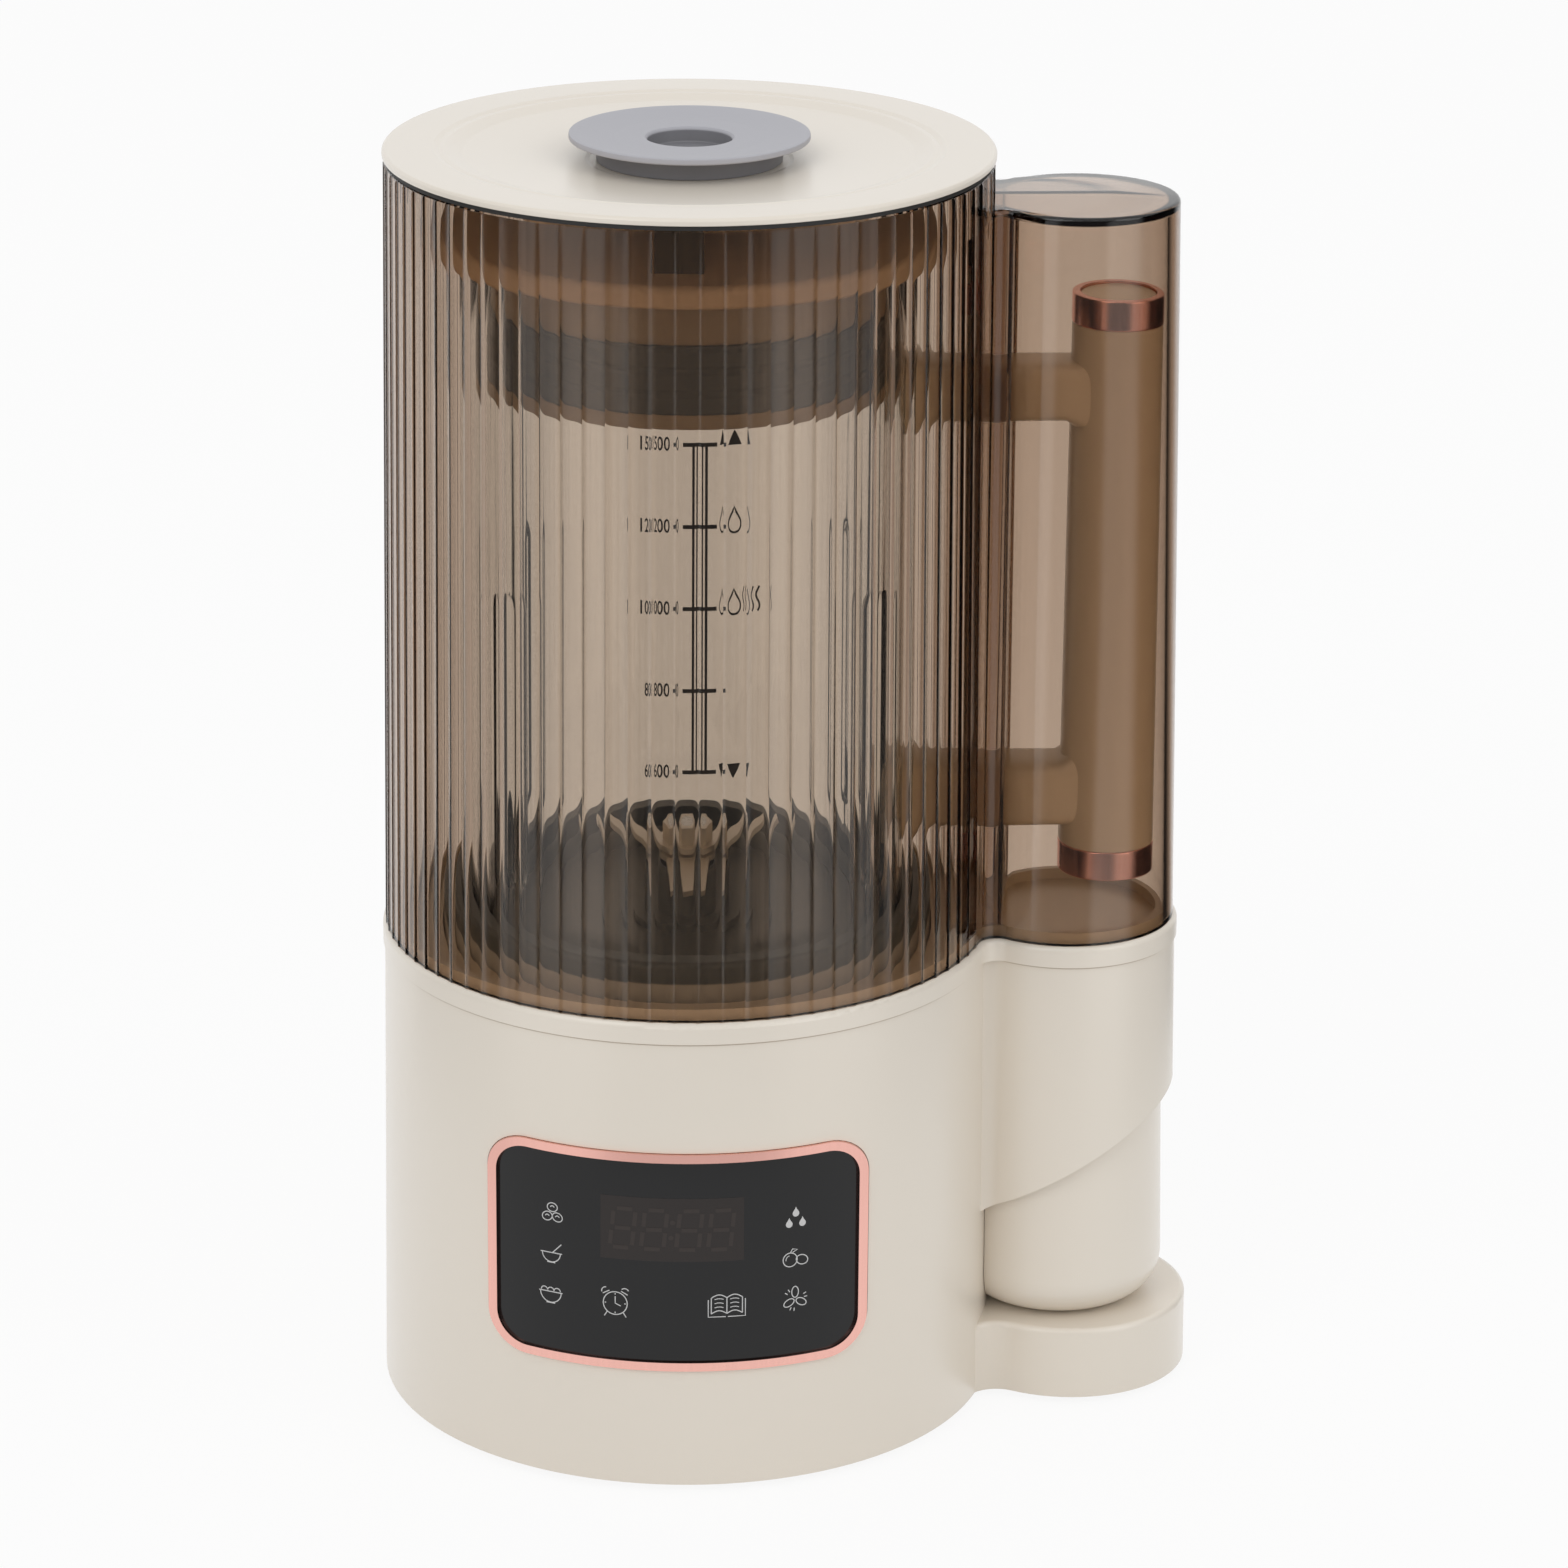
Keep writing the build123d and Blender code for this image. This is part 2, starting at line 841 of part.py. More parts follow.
touch_places = [
    (share * lens_half_width, row)
    for share in (touch_columns_share[0], touch_columns_share[-1])
    for row in touch_side_rows
] + [(share * lens_half_width, touch_low_row) for share in touch_columns_share[1:-1]]
with BuildPart() as touch_springs:
    with BuildSketch(panel_plane(board_out + board_thickness, lens_level)):
        with Locations(*touch_places):
            Circle(touch_spring_radius)
            Circle(touch_spring_radius - touch_spring_wall, mode=Mode.SUBTRACT)
    extrude(amount=base_bottom_radius)
    body_cone(-lens_depth - seat_gap, mode=Mode.INTERSECT)
save(touch_springs, "touch_springs")

# Power board and its parts
power_board_level = housing_foot_level + 2 * plate_wall
with BuildPart() as power_board:
    square_bar(
        power_board_level,
        power_board_height,
        board_thickness,
        2 * power_board_half,
        places=((-power_board_out, 0),),
    )
save(power_board, "power_board")

power_face = -power_board_out + board_thickness / 2
with BuildPart() as power_board_parts:
    square_bar(
        power_board_level + power_board_height / 2,
        relay_size[2],
        relay_size[0],
        relay_size[1],
        places=((power_face + relay_size[0] / 2, power_board_half / 2),),
    )
    square_bar(
        power_board_level + power_board_height / 2,
        choke_size[2],
        choke_size[0],
        choke_size[1],
        places=((power_face + choke_size[0] / 2, -power_board_half / 2),),
    )
    with BuildSketch(Plane.YZ.offset(power_face)):
        with Locations(
            (-power_board_half / 2, power_board_level + power_board_height / 4),
            (0, power_board_level + power_board_height / 4),
            (power_board_half / 2, power_board_level + power_board_height / 4),
        ):
            Circle(capacitor_radius)
    extrude(amount=capacitor_height)
save(power_board_parts, "power_board_parts")

# Mains inlet at the back
inlet_face = base_bottom_radius + edge_round
inlet_place = (0, housing_foot_level + inlet_level)
pin_places = [
    (-inlet_pin_spacing, inlet_place[1] - inlet_pin_size[1] / 2),
    (inlet_pin_spacing, inlet_place[1] - inlet_pin_size[1] / 2),
    (0, inlet_place[1] + inlet_pin_size[1] / 2),
]
with BuildPart() as mains_inlet:
    with BuildSketch(Plane.XZ.offset(-inlet_face)):
        with Locations(inlet_place):
            RectangleRounded(2 * inlet_half_width, 2 * inlet_half_height, inlet_corner)
    extrude(amount=inlet_depth)
    with BuildSketch(Plane.XZ.offset(-inlet_face - inlet_flange_thickness)):
        with Locations(inlet_place):
            RectangleRounded(
                2 * (inlet_half_width + inlet_flange),
                2 * (inlet_half_height + inlet_flange),
                inlet_corner + inlet_flange,
            )
    extrude(amount=inlet_flange_thickness)
    with BuildSketch(Plane.XZ.offset(-inlet_face - inlet_flange_thickness)):
        with Locations(inlet_place):
            RectangleRounded(
                2 * (inlet_half_width - inlet_wall), 2 * (inlet_half_height - inlet_wall), inlet_wall
            )
    extrude(amount=inlet_cavity_depth, mode=Mode.SUBTRACT)
    with BuildSketch(Plane.XZ.offset(-inlet_face)):
        with Locations(*pin_places):
            Rectangle(*inlet_pin_size)
    extrude(amount=inlet_depth, mode=Mode.SUBTRACT)
save(mains_inlet, "mains_inlet")

with BuildPart() as inlet_pins:
    with BuildSketch(Plane.XZ.offset(-inlet_face + inlet_cavity_depth - inlet_pin_reach)):
        with Locations(*pin_places):
            Rectangle(*inlet_pin_size)
    extrude(amount=inlet_depth - inlet_cavity_depth + inlet_pin_reach + inlet_flange)
save(inlet_pins, "inlet_pins")

# Motor brackets, the lower one with the two brush holders
post_places = corner_places(post_place)
commutator_level = stator_foot_level - winding_height - commutator_height
brush_middle = commutator_level + commutator_height / 2
brush_places = [
    (side * (commutator_radius + brush_gap + brush_length / 2), 0) for side in (-1, 1)
]
holder_places = [
    (side * (commutator_radius + brush_length / 2 + 2 * brush_holder_wall), 0) for side in (-1, 1)
]
with BuildPart() as motor_top_bracket:
    square_bar(
        motor_top_level - bracket_thickness,
        bracket_thickness,
        2 * bracket_half,
        2 * bracket_half,
        corner=stator_corner,
    )
    round_bar(motor_top_level, motor_bearing_height - bracket_thickness, bearing_cup_radius)
    round_bar(
        stator_top_level, stator_drop, post_radius, places=post_places
    )
    round_bar(
        motor_top_level - bracket_thickness,
        motor_bearing_height,
        motor_bearing_radius,
        mode=Mode.SUBTRACT,
    )
    round_bar(
        stator_top_level,
        stator_drop + bracket_thickness,
        motor_screw_radius + seat_gap,
        places=post_places,
        mode=Mode.SUBTRACT,
    )
    round_bar(
        motor_top_level - bracket_thickness,
        bracket_thickness,
        screw_radius + seat_gap,
        places=hang_places,
        mode=Mode.SUBTRACT,
    )
save(motor_top_bracket, "motor_top_bracket")

with BuildPart() as motor_bottom_bracket:
    square_bar(
        lower_bracket_level,
        bracket_thickness,
        2 * (post_place + post_radius),
        2 * (post_place + post_radius),
        corner=post_radius,
    )
    round_bar(
        lower_bracket_level - motor_bearing_height + bracket_thickness,
        motor_bearing_height,
        bearing_cup_radius,
    )
    round_bar(
        lower_bracket_level + bracket_thickness,
        lower_bracket_drop - bracket_thickness,
        post_radius,
        places=post_places,
    )
    round_bar(
        lower_bracket_level - motor_bearing_height + bracket_thickness,
        motor_bearing_height,
        motor_bearing_radius,
        mode=Mode.SUBTRACT,
    )
    round_bar(
        lower_bracket_level,
        lower_bracket_drop,
        motor_screw_radius + seat_gap,
        places=post_places,
        mode=Mode.SUBTRACT,
    )
    square_bar(
        lower_bracket_level + bracket_thickness,
        brush_middle + brush_height / 2 + brush_holder_wall - lower_bracket_level - bracket_thickness,
        brush_length,
        brush_width + 2 * brush_holder_wall + 2 * seat_gap,
        places=holder_places,
    )
    square_bar(
        brush_middle - brush_height / 2 - seat_gap,
        brush_height + 2 * seat_gap,
        2 * (brush_length + commutator_radius + overrun),
        brush_width + 2 * seat_gap,
        mode=Mode.SUBTRACT,
    )
save(motor_bottom_bracket, "motor_bottom_bracket")

with BuildPart() as motor_bearings:
    for bearing_level in (
        motor_top_level - bracket_thickness,
        lower_bracket_level - motor_bearing_height + bracket_thickness,
    ):
        round_bar(bearing_level, motor_bearing_height, motor_bearing_radius, shaft_radius)
save(motor_bearings, "motor_bearings")

with BuildPart() as motor_dampers:
    round_bar(motor_top_level, damper_height, damper_radius, screw_radius + seat_gap, hang_places)
save(motor_dampers, "motor_dampers")

hang_screws = screws(
    Plane.XY.offset(motor_top_level - bracket_thickness),
    hang_places,
    bracket_thickness + damper_height + motor_boss_height - edge_round,
)
with BuildPart() as motor_screws:
    round_bar(
        lower_bracket_level,
        motor_top_level - lower_bracket_level,
        motor_screw_radius,
        places=post_places,
    )
    for nut_level in (lower_bracket_level - screw_head_height, motor_top_level):
        with BuildSketch(Plane.XY.offset(nut_level)):
            with Locations(*post_places):
                RegularPolygon(screw_head_radius, 6)
        extrude(amount=screw_head_height)
    add(hang_screws.part)
save(motor_screws, "motor_screws")

# Stator, coils and brushes
pole_places = [(0, side * (stator_bore + slot_depth / 2)) for side in (-1, 1)]
with BuildPart() as motor_stator:
    with BuildSketch(Plane.XY.offset(stator_foot_level)):
        RectangleRounded(2 * stator_half, 2 * stator_half, stator_corner)
        Circle(stator_bore, mode=Mode.SUBTRACT)
        with Locations(*pole_places):
            Rectangle(2 * slot_half_width, slot_depth, mode=Mode.SUBTRACT)
            Rectangle(2 * pole_half_width, slot_depth)
        with Locations(*post_places):
            Circle(motor_screw_radius + seat_gap, mode=Mode.SUBTRACT)
        Circle(stator_bore, mode=Mode.SUBTRACT)
    extrude(amount=stator_height)
save(motor_stator, "motor_stator")

with BuildPart() as field_coils:
    square_bar(
        stator_foot_level - coil_overhang,
        stator_height + 2 * coil_overhang,
        2 * (slot_half_width - coil_gap),
        slot_depth - 2 * coil_gap,
        places=pole_places,
    )
    square_bar(
        stator_foot_level - coil_gap,
        stator_height + 2 * coil_gap,
        2 * (pole_half_width + coil_gap),
        slot_depth + overrun,
        places=pole_places,
        mode=Mode.SUBTRACT,
    )
    round_bar(
        stator_foot_level - overrun,
        stator_height + 2 * overrun,
        stator_bore + coil_gap,
        mode=Mode.SUBTRACT,
    )
save(field_coils, "field_coils")

with BuildPart() as carbon_brushes:
    square_bar(
        brush_middle - brush_height / 2, brush_height, brush_length, brush_width, places=brush_places
    )
save(carbon_brushes, "carbon_brushes")

# Rotor of the motor
shaft_foot_level = lower_bracket_level - motor_bearing_height + bracket_thickness
with BuildPart() as motor_shaft:
    round_bar(shaft_foot_level, star_level - shaft_foot_level, shaft_radius - seat_gap / 2)
save(motor_shaft, "motor_shaft")

with BuildPart() as armature_core:
    with BuildSketch(Plane.XY.offset(stator_foot_level)):
        Circle(armature_radius)
        Circle(shaft_radius, mode=Mode.SUBTRACT)
        with PolarLocations(armature_radius - armature_slot_depth / 2, armature_slots):
            Rectangle(armature_slot_depth + edge_round, armature_slot_width, mode=Mode.SUBTRACT)
    extrude(amount=stator_height)
save(armature_core, "armature_core")

with BuildPart() as armature_winding:
    for winding_level in (stator_foot_level - winding_height, stator_top_level):
        round_bar(winding_level, winding_height, winding_radius, shaft_radius)
save(armature_winding, "armature_winding")

with BuildPart() as commutator:
    round_bar(commutator_level, commutator_height, commutator_radius, shaft_radius)
save(commutator, "commutator")

fan_level = motor_top_level - bracket_thickness - fan_gap - fan_height
with BuildPart() as cooling_fan:
    round_bar(fan_level, fan_height, fan_hub_radius, shaft_radius)
    round_bar(fan_level, fan_blade_thickness, fan_radius, shaft_radius)
    with BuildSketch(Plane.XY.offset(fan_level)):
        with PolarLocations((fan_radius + fan_hub_radius) / 2 - edge_round, fan_blades):
            Rectangle(fan_radius - fan_hub_radius, fan_blade_thickness)
    extrude(amount=fan_height)
save(cooling_fan, "cooling_fan")


def star(level, height, grow, mode=Mode.ADD):
    """The six-armed star of the drive coupling, made larger by one amount."""
    with BuildSketch(Plane.XY.offset(level)) as outline:
        Circle(star_root_radius + grow)
        with PolarLocations(star_radius / 2, star_arms):
            Rectangle(star_radius + 2 * grow, star_arm_width + 2 * grow)
    extrude(to_extrude=outline.sketch, amount=height, mode=mode)


with BuildPart() as motor_coupling:
    round_bar(recess_level - plate_wall, plate_wall - fit_gap, coupling_hole_radius - edge_round)
    round_bar(
        recess_level - plate_wall, plate_wall - fit_gap, shaft_radius - seat_gap / 2, mode=Mode.SUBTRACT
    )
    star(star_level, star_height, 0)
save(motor_coupling, "motor_coupling")

# Jug: collar, floor and what hangs under it
collar_inner = collar_radius - collar_wall
collar_top_level = jug_foot_level + collar_height
cover_boss_places = around(collar_inner - boss_radius + 2 * seat_gap, (30, 150, 270))
with BuildPart() as jug_collar:
    turned(
        (collar_inner, jug_foot_level),
        (collar_radius, jug_foot_level),
        (collar_radius, collar_top_level),
        (glass_radius + fit_gap, collar_top_level),
        (glass_radius + fit_gap, web_top_level),
        (collar_web_inner, web_top_level),
        (collar_web_inner, web_top_level - plate_wall),
        (collar_inner, web_top_level - plate_wall),
    )
    fillet(
        jug_collar.edges().filter_by(GeomType.CIRCLE).group_by(Axis.Z)[-1].sort_by(SortBy.RADIUS)[-1],
        collar_round,
    )
    round_bar(
        jug_foot_level + cover_thickness,
        collar_web_height - cover_thickness,
        boss_radius,
        places=cover_boss_places,
    )
    round_bar(
        jug_foot_level + cover_thickness,
        collar_web_height - cover_thickness,
        screw_radius + seat_gap,
        places=cover_boss_places,
        mode=Mode.SUBTRACT,
    )
save(jug_collar, "jug_collar")

with BuildPart() as heating_plate:
    turned(
        (hub_radius + seat_gap, heating_floor_level - heating_plate_wall),
        (heating_floor_radius - heating_plate_wall, heating_floor_level - heating_plate_wall),
        (heating_floor_radius - heating_plate_wall, web_top_level),
        (glass_radius, web_top_level),
        (glass_radius, web_top_level + heating_plate_wall),
        (heating_floor_radius, web_top_level + heating_plate_wall),
        (heating_floor_radius, heating_floor_level),
        (hub_radius + seat_gap, heating_floor_level),
    )
    round_bar(
        heating_floor_level - heating_plate_wall,
        heating_plate_wall,
        probe_radius + seat_gap,
        places=((0, probe_out),),
        mode=Mode.SUBTRACT,
    )
save(heating_plate, "heating_plate")

with BuildPart() as heating_element:
    round_bar(
        heating_floor_level - heating_plate_wall - element_section,
        element_section,
        element_ring_radius + element_section / 2,
        element_ring_radius - element_section / 2,
    )
    square_bar(
        heating_floor_level - heating_plate_wall - element_section,
        element_section,
        element_ring_radius,
        element_section,
        places=((-element_ring_radius, 0),),
        mode=Mode.SUBTRACT,
    )
save(heating_element, "heating_element")

with BuildPart() as jug_bottom_gasket:
    round_bar(
        web_top_level + heating_plate_wall, gasket_rise, glass_radius, heating_floor_radius + seat_gap
    )
save(jug_bottom_gasket, "jug_bottom_gasket")

with BuildPart() as temperature_probe:
    round_bar(
        heating_floor_level - heating_plate_wall - element_section,
        element_section + probe_reach,
        probe_radius,
        places=((0, probe_out),),
    )
    fillet(temperature_probe.edges().group_by(Axis.Z)[-1], probe_radius - edge_round)
save(temperature_probe, "temperature_probe")

with BuildPart() as jug_base_cover:
    round_bar(
        jug_foot_level,
        cover_thickness,
        collar_inner - seat_gap,
        jug_coupling_radius + 2 * fit_gap,
    )
    square_bar(
        jug_foot_level,
        cover_thickness,
        2 * (socket_half_width + plate_wall + seat_gap),
        2 * (socket_half_length + plate_wall + seat_gap),
        places=((-socket_out, 0),),
        mode=Mode.SUBTRACT,
    )
    round_bar(
        jug_foot_level,
        cover_thickness,
        screw_radius + seat_gap,
        places=cover_boss_places,
        mode=Mode.SUBTRACT,
    )
    round_bar(
        jug_foot_level,
        cover_thickness / 2,
        screw_head_radius + seat_gap,
        places=cover_boss_places,
        mode=Mode.SUBTRACT,
    )
save(jug_base_cover, "jug_base_cover")

with BuildPart() as cover_screws:
    round_bar(
        jug_foot_level + fit_gap,
        cover_thickness / 2 - fit_gap,
        screw_head_radius,
        places=cover_boss_places,
    )
    round_bar(
        jug_foot_level + cover_thickness / 2,
        collar_web_height - cover_thickness,
        screw_radius,
        places=cover_boss_places,
    )
save(cover_screws, "cover_screws")

with BuildPart() as jug_connector:
    square_bar(
        jug_foot_level + fit_gap,
        web_top_level - plate_wall - jug_foot_level - fit_gap,
        2 * (socket_half_width + plate_wall),
        2 * (socket_half_length + plate_wall),
        places=((-socket_out, 0),),
    )
    round_bar(
        jug_foot_level + fit_gap,
        contact_rise,
        contact_radius + fit_gap,
        places=contact_places,
        mode=Mode.SUBTRACT,
    )
save(jug_connector, "jug_connector")

# Glass with its four flow ribs
rib_angles = [
    way * 90 + side * flow_rib_angle for way in (-1, 1) for side in (-1, 1)
]
with BuildPart() as jug_glass:
    round_bar(glass_foot_level, glass_height, glass_radius)
    round_bar(glass_foot_level, glass_height, glass_inner_radius, mode=Mode.SUBTRACT)
    fillet(jug_glass.edges().group_by(Axis.Z)[-1], glass_edge_round)
    with BuildSketch(Plane.XY.offset(glass_foot_level + flow_rib_start)):
        with Locations(*around(glass_inner_radius, rib_angles)):
            Circle(flow_rib_radius)
    extrude(amount=flow_rib_length)
save(jug_glass, "jug_glass")

# Handle: arms with their pads on the glass, and the grip
arm_levels = (
    (deck_level + lower_arm_start, lower_arm_height, 1),
    (deck_level + upper_arm_start, upper_arm_height, -1),
)
with BuildPart() as jug_handle:
    round_bar(
        grip_level + grip_ring_height,
        grip_height - 2 * grip_ring_height,
        grip_bottom_radius,
        places=((grip_out, 0),),
        taper=degrees(atan((grip_bottom_radius - grip_top_radius) / grip_height)),
    )
    round_bar(
        grip_level + grip_cap_sink,
        grip_height - 2 * grip_cap_sink,
        grip_top_radius - grip_ring_wall,
        places=((grip_out, 0),),
    )
    for arm_level, arm_height, way in arm_levels:
        with BuildSketch(Plane.XZ.offset(-arm_half_width)):
            with BuildLine():
                inner_edge = arm_level if way < 0 else arm_level + arm_height
                outer_edge = arm_level + arm_height if way < 0 else arm_level
                Polyline(
                    (glass_inner_radius, outer_edge),
                    (grip_out, outer_edge),
                    (grip_out, inner_edge + way * arm_fairing),
                    (grip_out - grip_bottom_radius, inner_edge + way * arm_fairing),
                    (grip_out - grip_bottom_radius - arm_fairing, inner_edge),
                    (glass_inner_radius, inner_edge),
                    close=True,
                )
            make_face()
        extrude(amount=2 * arm_half_width)
        square_bar(
            arm_level - arm_pad_margin,
            arm_height + 2 * arm_pad_margin,
            glass_radius,
            arm_pad_width,
            places=((glass_radius / 2 + arm_pad_thickness, 0),),
        )
    round_bar(deck_level, glass_height, glass_radius + seat_gap, mode=Mode.SUBTRACT)
save(jug_handle, "jug_handle")

with BuildPart() as handle_rings:
    for ring_level, ring_radius in (
        (grip_level, grip_bottom_radius),
        (grip_top_level - grip_ring_height, grip_top_radius + 2 * seat_gap),
    ):
        round_bar(
            ring_level,
            grip_ring_height,
            ring_radius,
            grip_top_radius - grip_ring_wall + seat_gap,
            places=((grip_out, 0),),
        )
    outer_edges = handle_rings.edges().filter_by(GeomType.CIRCLE).sort_by(SortBy.RADIUS)[-4:]
    fillet(outer_edges, edge_round / 2)
save(handle_rings, "handle_rings")

# Blade bearing, blades and the jug's half of the coupling
hub_foot_level = heating_floor_level - hub_drop
hub_top_level = heating_floor_level + hub_rise
with BuildPart() as blade_bearing_housing:
    round_bar(hub_foot_level, hub_drop + hub_rise, hub_radius)
    round_bar(heating_floor_level, hub_flange_thickness, hub_flange_radius)
    round_bar(hub_foot_level, hub_drop + hub_rise, bearing_radius, mode=Mode.SUBTRACT)
    fillet(
        blade_bearing_housing.edges().group_by(Axis.Z)[-1].sort_by(SortBy.RADIUS)[-1],
        edge_round,
    )
save(blade_bearing_housing, "blade_bearing_housing")

with BuildPart() as blade_bearings:
    for bearing_level in (hub_foot_level, hub_foot_level + bearing_spacing):
        round_bar(bearing_level, bearing_height, bearing_radius, shaft_radius)
save(blade_bearings, "blade_bearings")

with BuildPart() as blade_shaft_seal:
    round_bar(hub_top_level - seal_height, seal_height, bearing_radius, shaft_radius)
save(blade_shaft_seal, "blade_shaft_seal")

with BuildPart() as bearing_nut:
    with BuildSketch(Plane.XY.offset(heating_floor_level - heating_plate_wall - hub_nut_height)):
        RegularPolygon(hub_nut_radius, 6)
        Circle(hub_radius + seat_gap / 2, mode=Mode.SUBTRACT)
    extrude(amount=hub_nut_height)
save(bearing_nut, "bearing_nut")

coupling_level = jug_foot_level + fit_gap
blade_level = hub_top_level + 2 * edge_round
shaft_top_level = blade_level + 2 * blade_thickness + edge_round + blade_nut_height
with BuildPart() as blade_shaft:
    shaft_foot = star_level + star_height + fit_gap
    round_bar(shaft_foot, shaft_top_level - shaft_foot, shaft_radius - seat_gap / 2)
save(blade_shaft, "blade_shaft")


def blade(level, turn, way):
    """A two-armed blade whose arms bend up or down from its flat middle."""
    with BuildPart() as piece:
        with BuildSketch(Plane.XY.offset(level)):
            Circle(blade_root_radius)
            Circle(shaft_radius, mode=Mode.SUBTRACT)
        extrude(amount=blade_thickness)
        for side in (0, 180):
            angle = radians(turn + side)
            bend = radians(blade_bend) * way
            along = Vector(cos(angle) * cos(bend), sin(angle) * cos(bend), sin(bend))
            across = Vector(-sin(angle), cos(angle), 0)
            root = Vector(cos(angle), sin(angle), 0) * (blade_root_radius - edge_round)
            arm_plane = Plane(
                origin=root + Vector(0, 0, level), x_dir=along, z_dir=along.cross(across)
            )
            with BuildSketch(arm_plane):
                with BuildLine():
                    Polyline(
                        (0, -blade_root_width / 2 + edge_round),
                        (blade_reach - blade_root_radius, -blade_tip_width / 2),
                        (blade_reach - blade_root_radius - edge_round, blade_tip_width / 2),
                        (0, blade_root_width / 2 - edge_round),
                        close=True,
                    )
                make_face()
            extrude(amount=blade_thickness)
    return piece


blade_upper = blade(blade_level + blade_thickness + edge_round, 0, 1)
save(blade_upper, "blade_upper")

blade_lower = blade(blade_level, 90, -1 / 2)
save(blade_lower, "blade_lower")

with BuildPart() as blade_nut:
    with BuildSketch(Plane.XY.offset(blade_level + 2 * blade_thickness + edge_round)):
        RegularPolygon(blade_nut_radius, 6)
        Circle(shaft_radius, mode=Mode.SUBTRACT)
    extrude(amount=blade_nut_height)
save(blade_nut, "blade_nut")

with BuildPart() as jug_coupling:
    round_bar(coupling_level, jug_coupling_height, jug_coupling_radius)
    star(coupling_level, star_level + star_height + fit_gap - coupling_level, fit_gap, Mode.SUBTRACT)
    round_bar(
        coupling_level,
        jug_coupling_height,
        shaft_radius,
        mode=Mode.SUBTRACT,
    )
save(jug_coupling, "jug_coupling")

# Jug lid
lid_level = glass_top_level
seal_level = lid_level - lid_plug_depth + lid_lip_height
with BuildPart() as jug_lid_cap:
    round_bar(lid_level, lid_height, lid_radius)
    fillet(jug_lid_cap.edges().group_by(Axis.Z)[-1], lid_round)
    fillet(jug_lid_cap.edges().group_by(Axis.Z)[0], edge_round)
    round_bar(lid_level, lid_height, lid_vent_radius, mode=Mode.SUBTRACT)
save(jug_lid_cap, "jug_lid_cap")

with BuildPart() as jug_lid_plug:
    turned(
        (lid_vent_radius, lid_level - lid_plug_depth),
        (lid_lip_radius, lid_level - lid_plug_depth),
        (lid_lip_radius, seal_level),
        (lid_plug_radius, seal_level),
        (lid_plug_radius, lid_level),
        (lid_plug_radius - lid_plug_wall, lid_level),
        (lid_plug_radius - lid_plug_wall, seal_level),
        (lid_vent_radius, seal_level),
    )
save(jug_lid_plug, "jug_lid_plug")

lip_pitch = lid_seal_height / lid_seal_lips
with BuildPart() as jug_lid_seal:
    round_bar(seal_level, lid_seal_height, lid_seal_radius - lid_seal_lip, lid_plug_radius)
    for step in range(lid_seal_lips):
        round_bar(
            seal_level + step * lip_pitch, lip_pitch / 2, lid_seal_radius, lid_plug_radius
        )
save(jug_lid_seal, "jug_lid_seal")

with BuildPart() as lid_steam_valve:
    round_bar(lid_level + lid_height, valve_height, valve_radius)
    fillet(lid_steam_valve.edges().group_by(Axis.Z)[-1], edge_round)
    round_bar(lid_level, lid_height, valve_stem_radius)
save(lid_steam_valve, "lid_steam_valve")


# Hood: reeded shell with its column, gasket, top plate and clips
def reeded_outline(level, crest_radius):
    """A ring of convex reeds between valleys on one level."""
    valley_radius = crest_radius - reed_depth
    pitch = 360 / reed_count
    with BuildSketch(Plane.XY.offset(level)) as outline:
        with BuildLine():
            for step in range(reed_count):
                start, crest, end = (step * pitch + share * pitch for share in (0, 1 / 2, 1))
                ThreePointArc(
                    around(valley_radius, [start])[0],
                    around(crest_radius, [crest])[0],
                    around(valley_radius, [end])[0],
                )
        make_face()
    return outline.sketch


with BuildPart() as hood_shell:
    extrude(
        keyhole(deck_level, hood_radius - reed_depth, hood_column_radius, neck_round),
        amount=hood_column_height,
        taper=hood_column_draft,
    )
    fillet(hood_shell.faces().sort_by(Axis.Z)[-1].edges(), hood_column_round)
    loft(
        (
            reeded_outline(deck_level, hood_radius),
            reeded_outline(hood_top_level, hood_top_radius),
        ),
        ruled=True,
    )
    extrude(
        keyhole(
            deck_level,
            hood_radius - hood_wall,
            hood_column_radius - hood_wall,
            neck_round + hood_wall,
        ),
        amount=hood_column_height - hood_wall,
        taper=hood_column_draft,
        mode=Mode.SUBTRACT,
    )
    round_bar(
        deck_level,
        hood_height,
        hood_radius - hood_wall,
        taper=degrees(atan((hood_radius - hood_top_radius) / hood_height)),
        mode=Mode.SUBTRACT,
    )
save(hood_shell, "hood_shell")

with BuildPart() as hood_gasket:
    round_bar(hood_top_level, gasket_height, gasket_radius, gasket_radius - gasket_width)
save(hood_gasket, "hood_gasket")

with BuildPart() as hood_top_plate:
    turned(
        (plug_hole_radius, plug_seat_level),
        (plug_seat_radius, plug_seat_level),
        (top_dish_radius, plate_top_level - top_step_drop),
        (top_step_radius, plate_top_level),
        (top_plate_radius, plate_top_level),
        (top_plate_radius, plate_level),
        (top_step_radius, plate_level),
        (top_dish_radius, plate_level - top_step_drop),
        (plug_seat_radius, plug_seat_level - top_plate_thickness),
        (plug_hole_radius, plug_seat_level - top_plate_thickness),
    )
    fillet(
        hood_top_plate.edges().group_by(Axis.Z)[-1].sort_by(SortBy.RADIUS)[-1],
        top_plate_edge_round,
    )
save(hood_top_plate, "hood_top_plate")

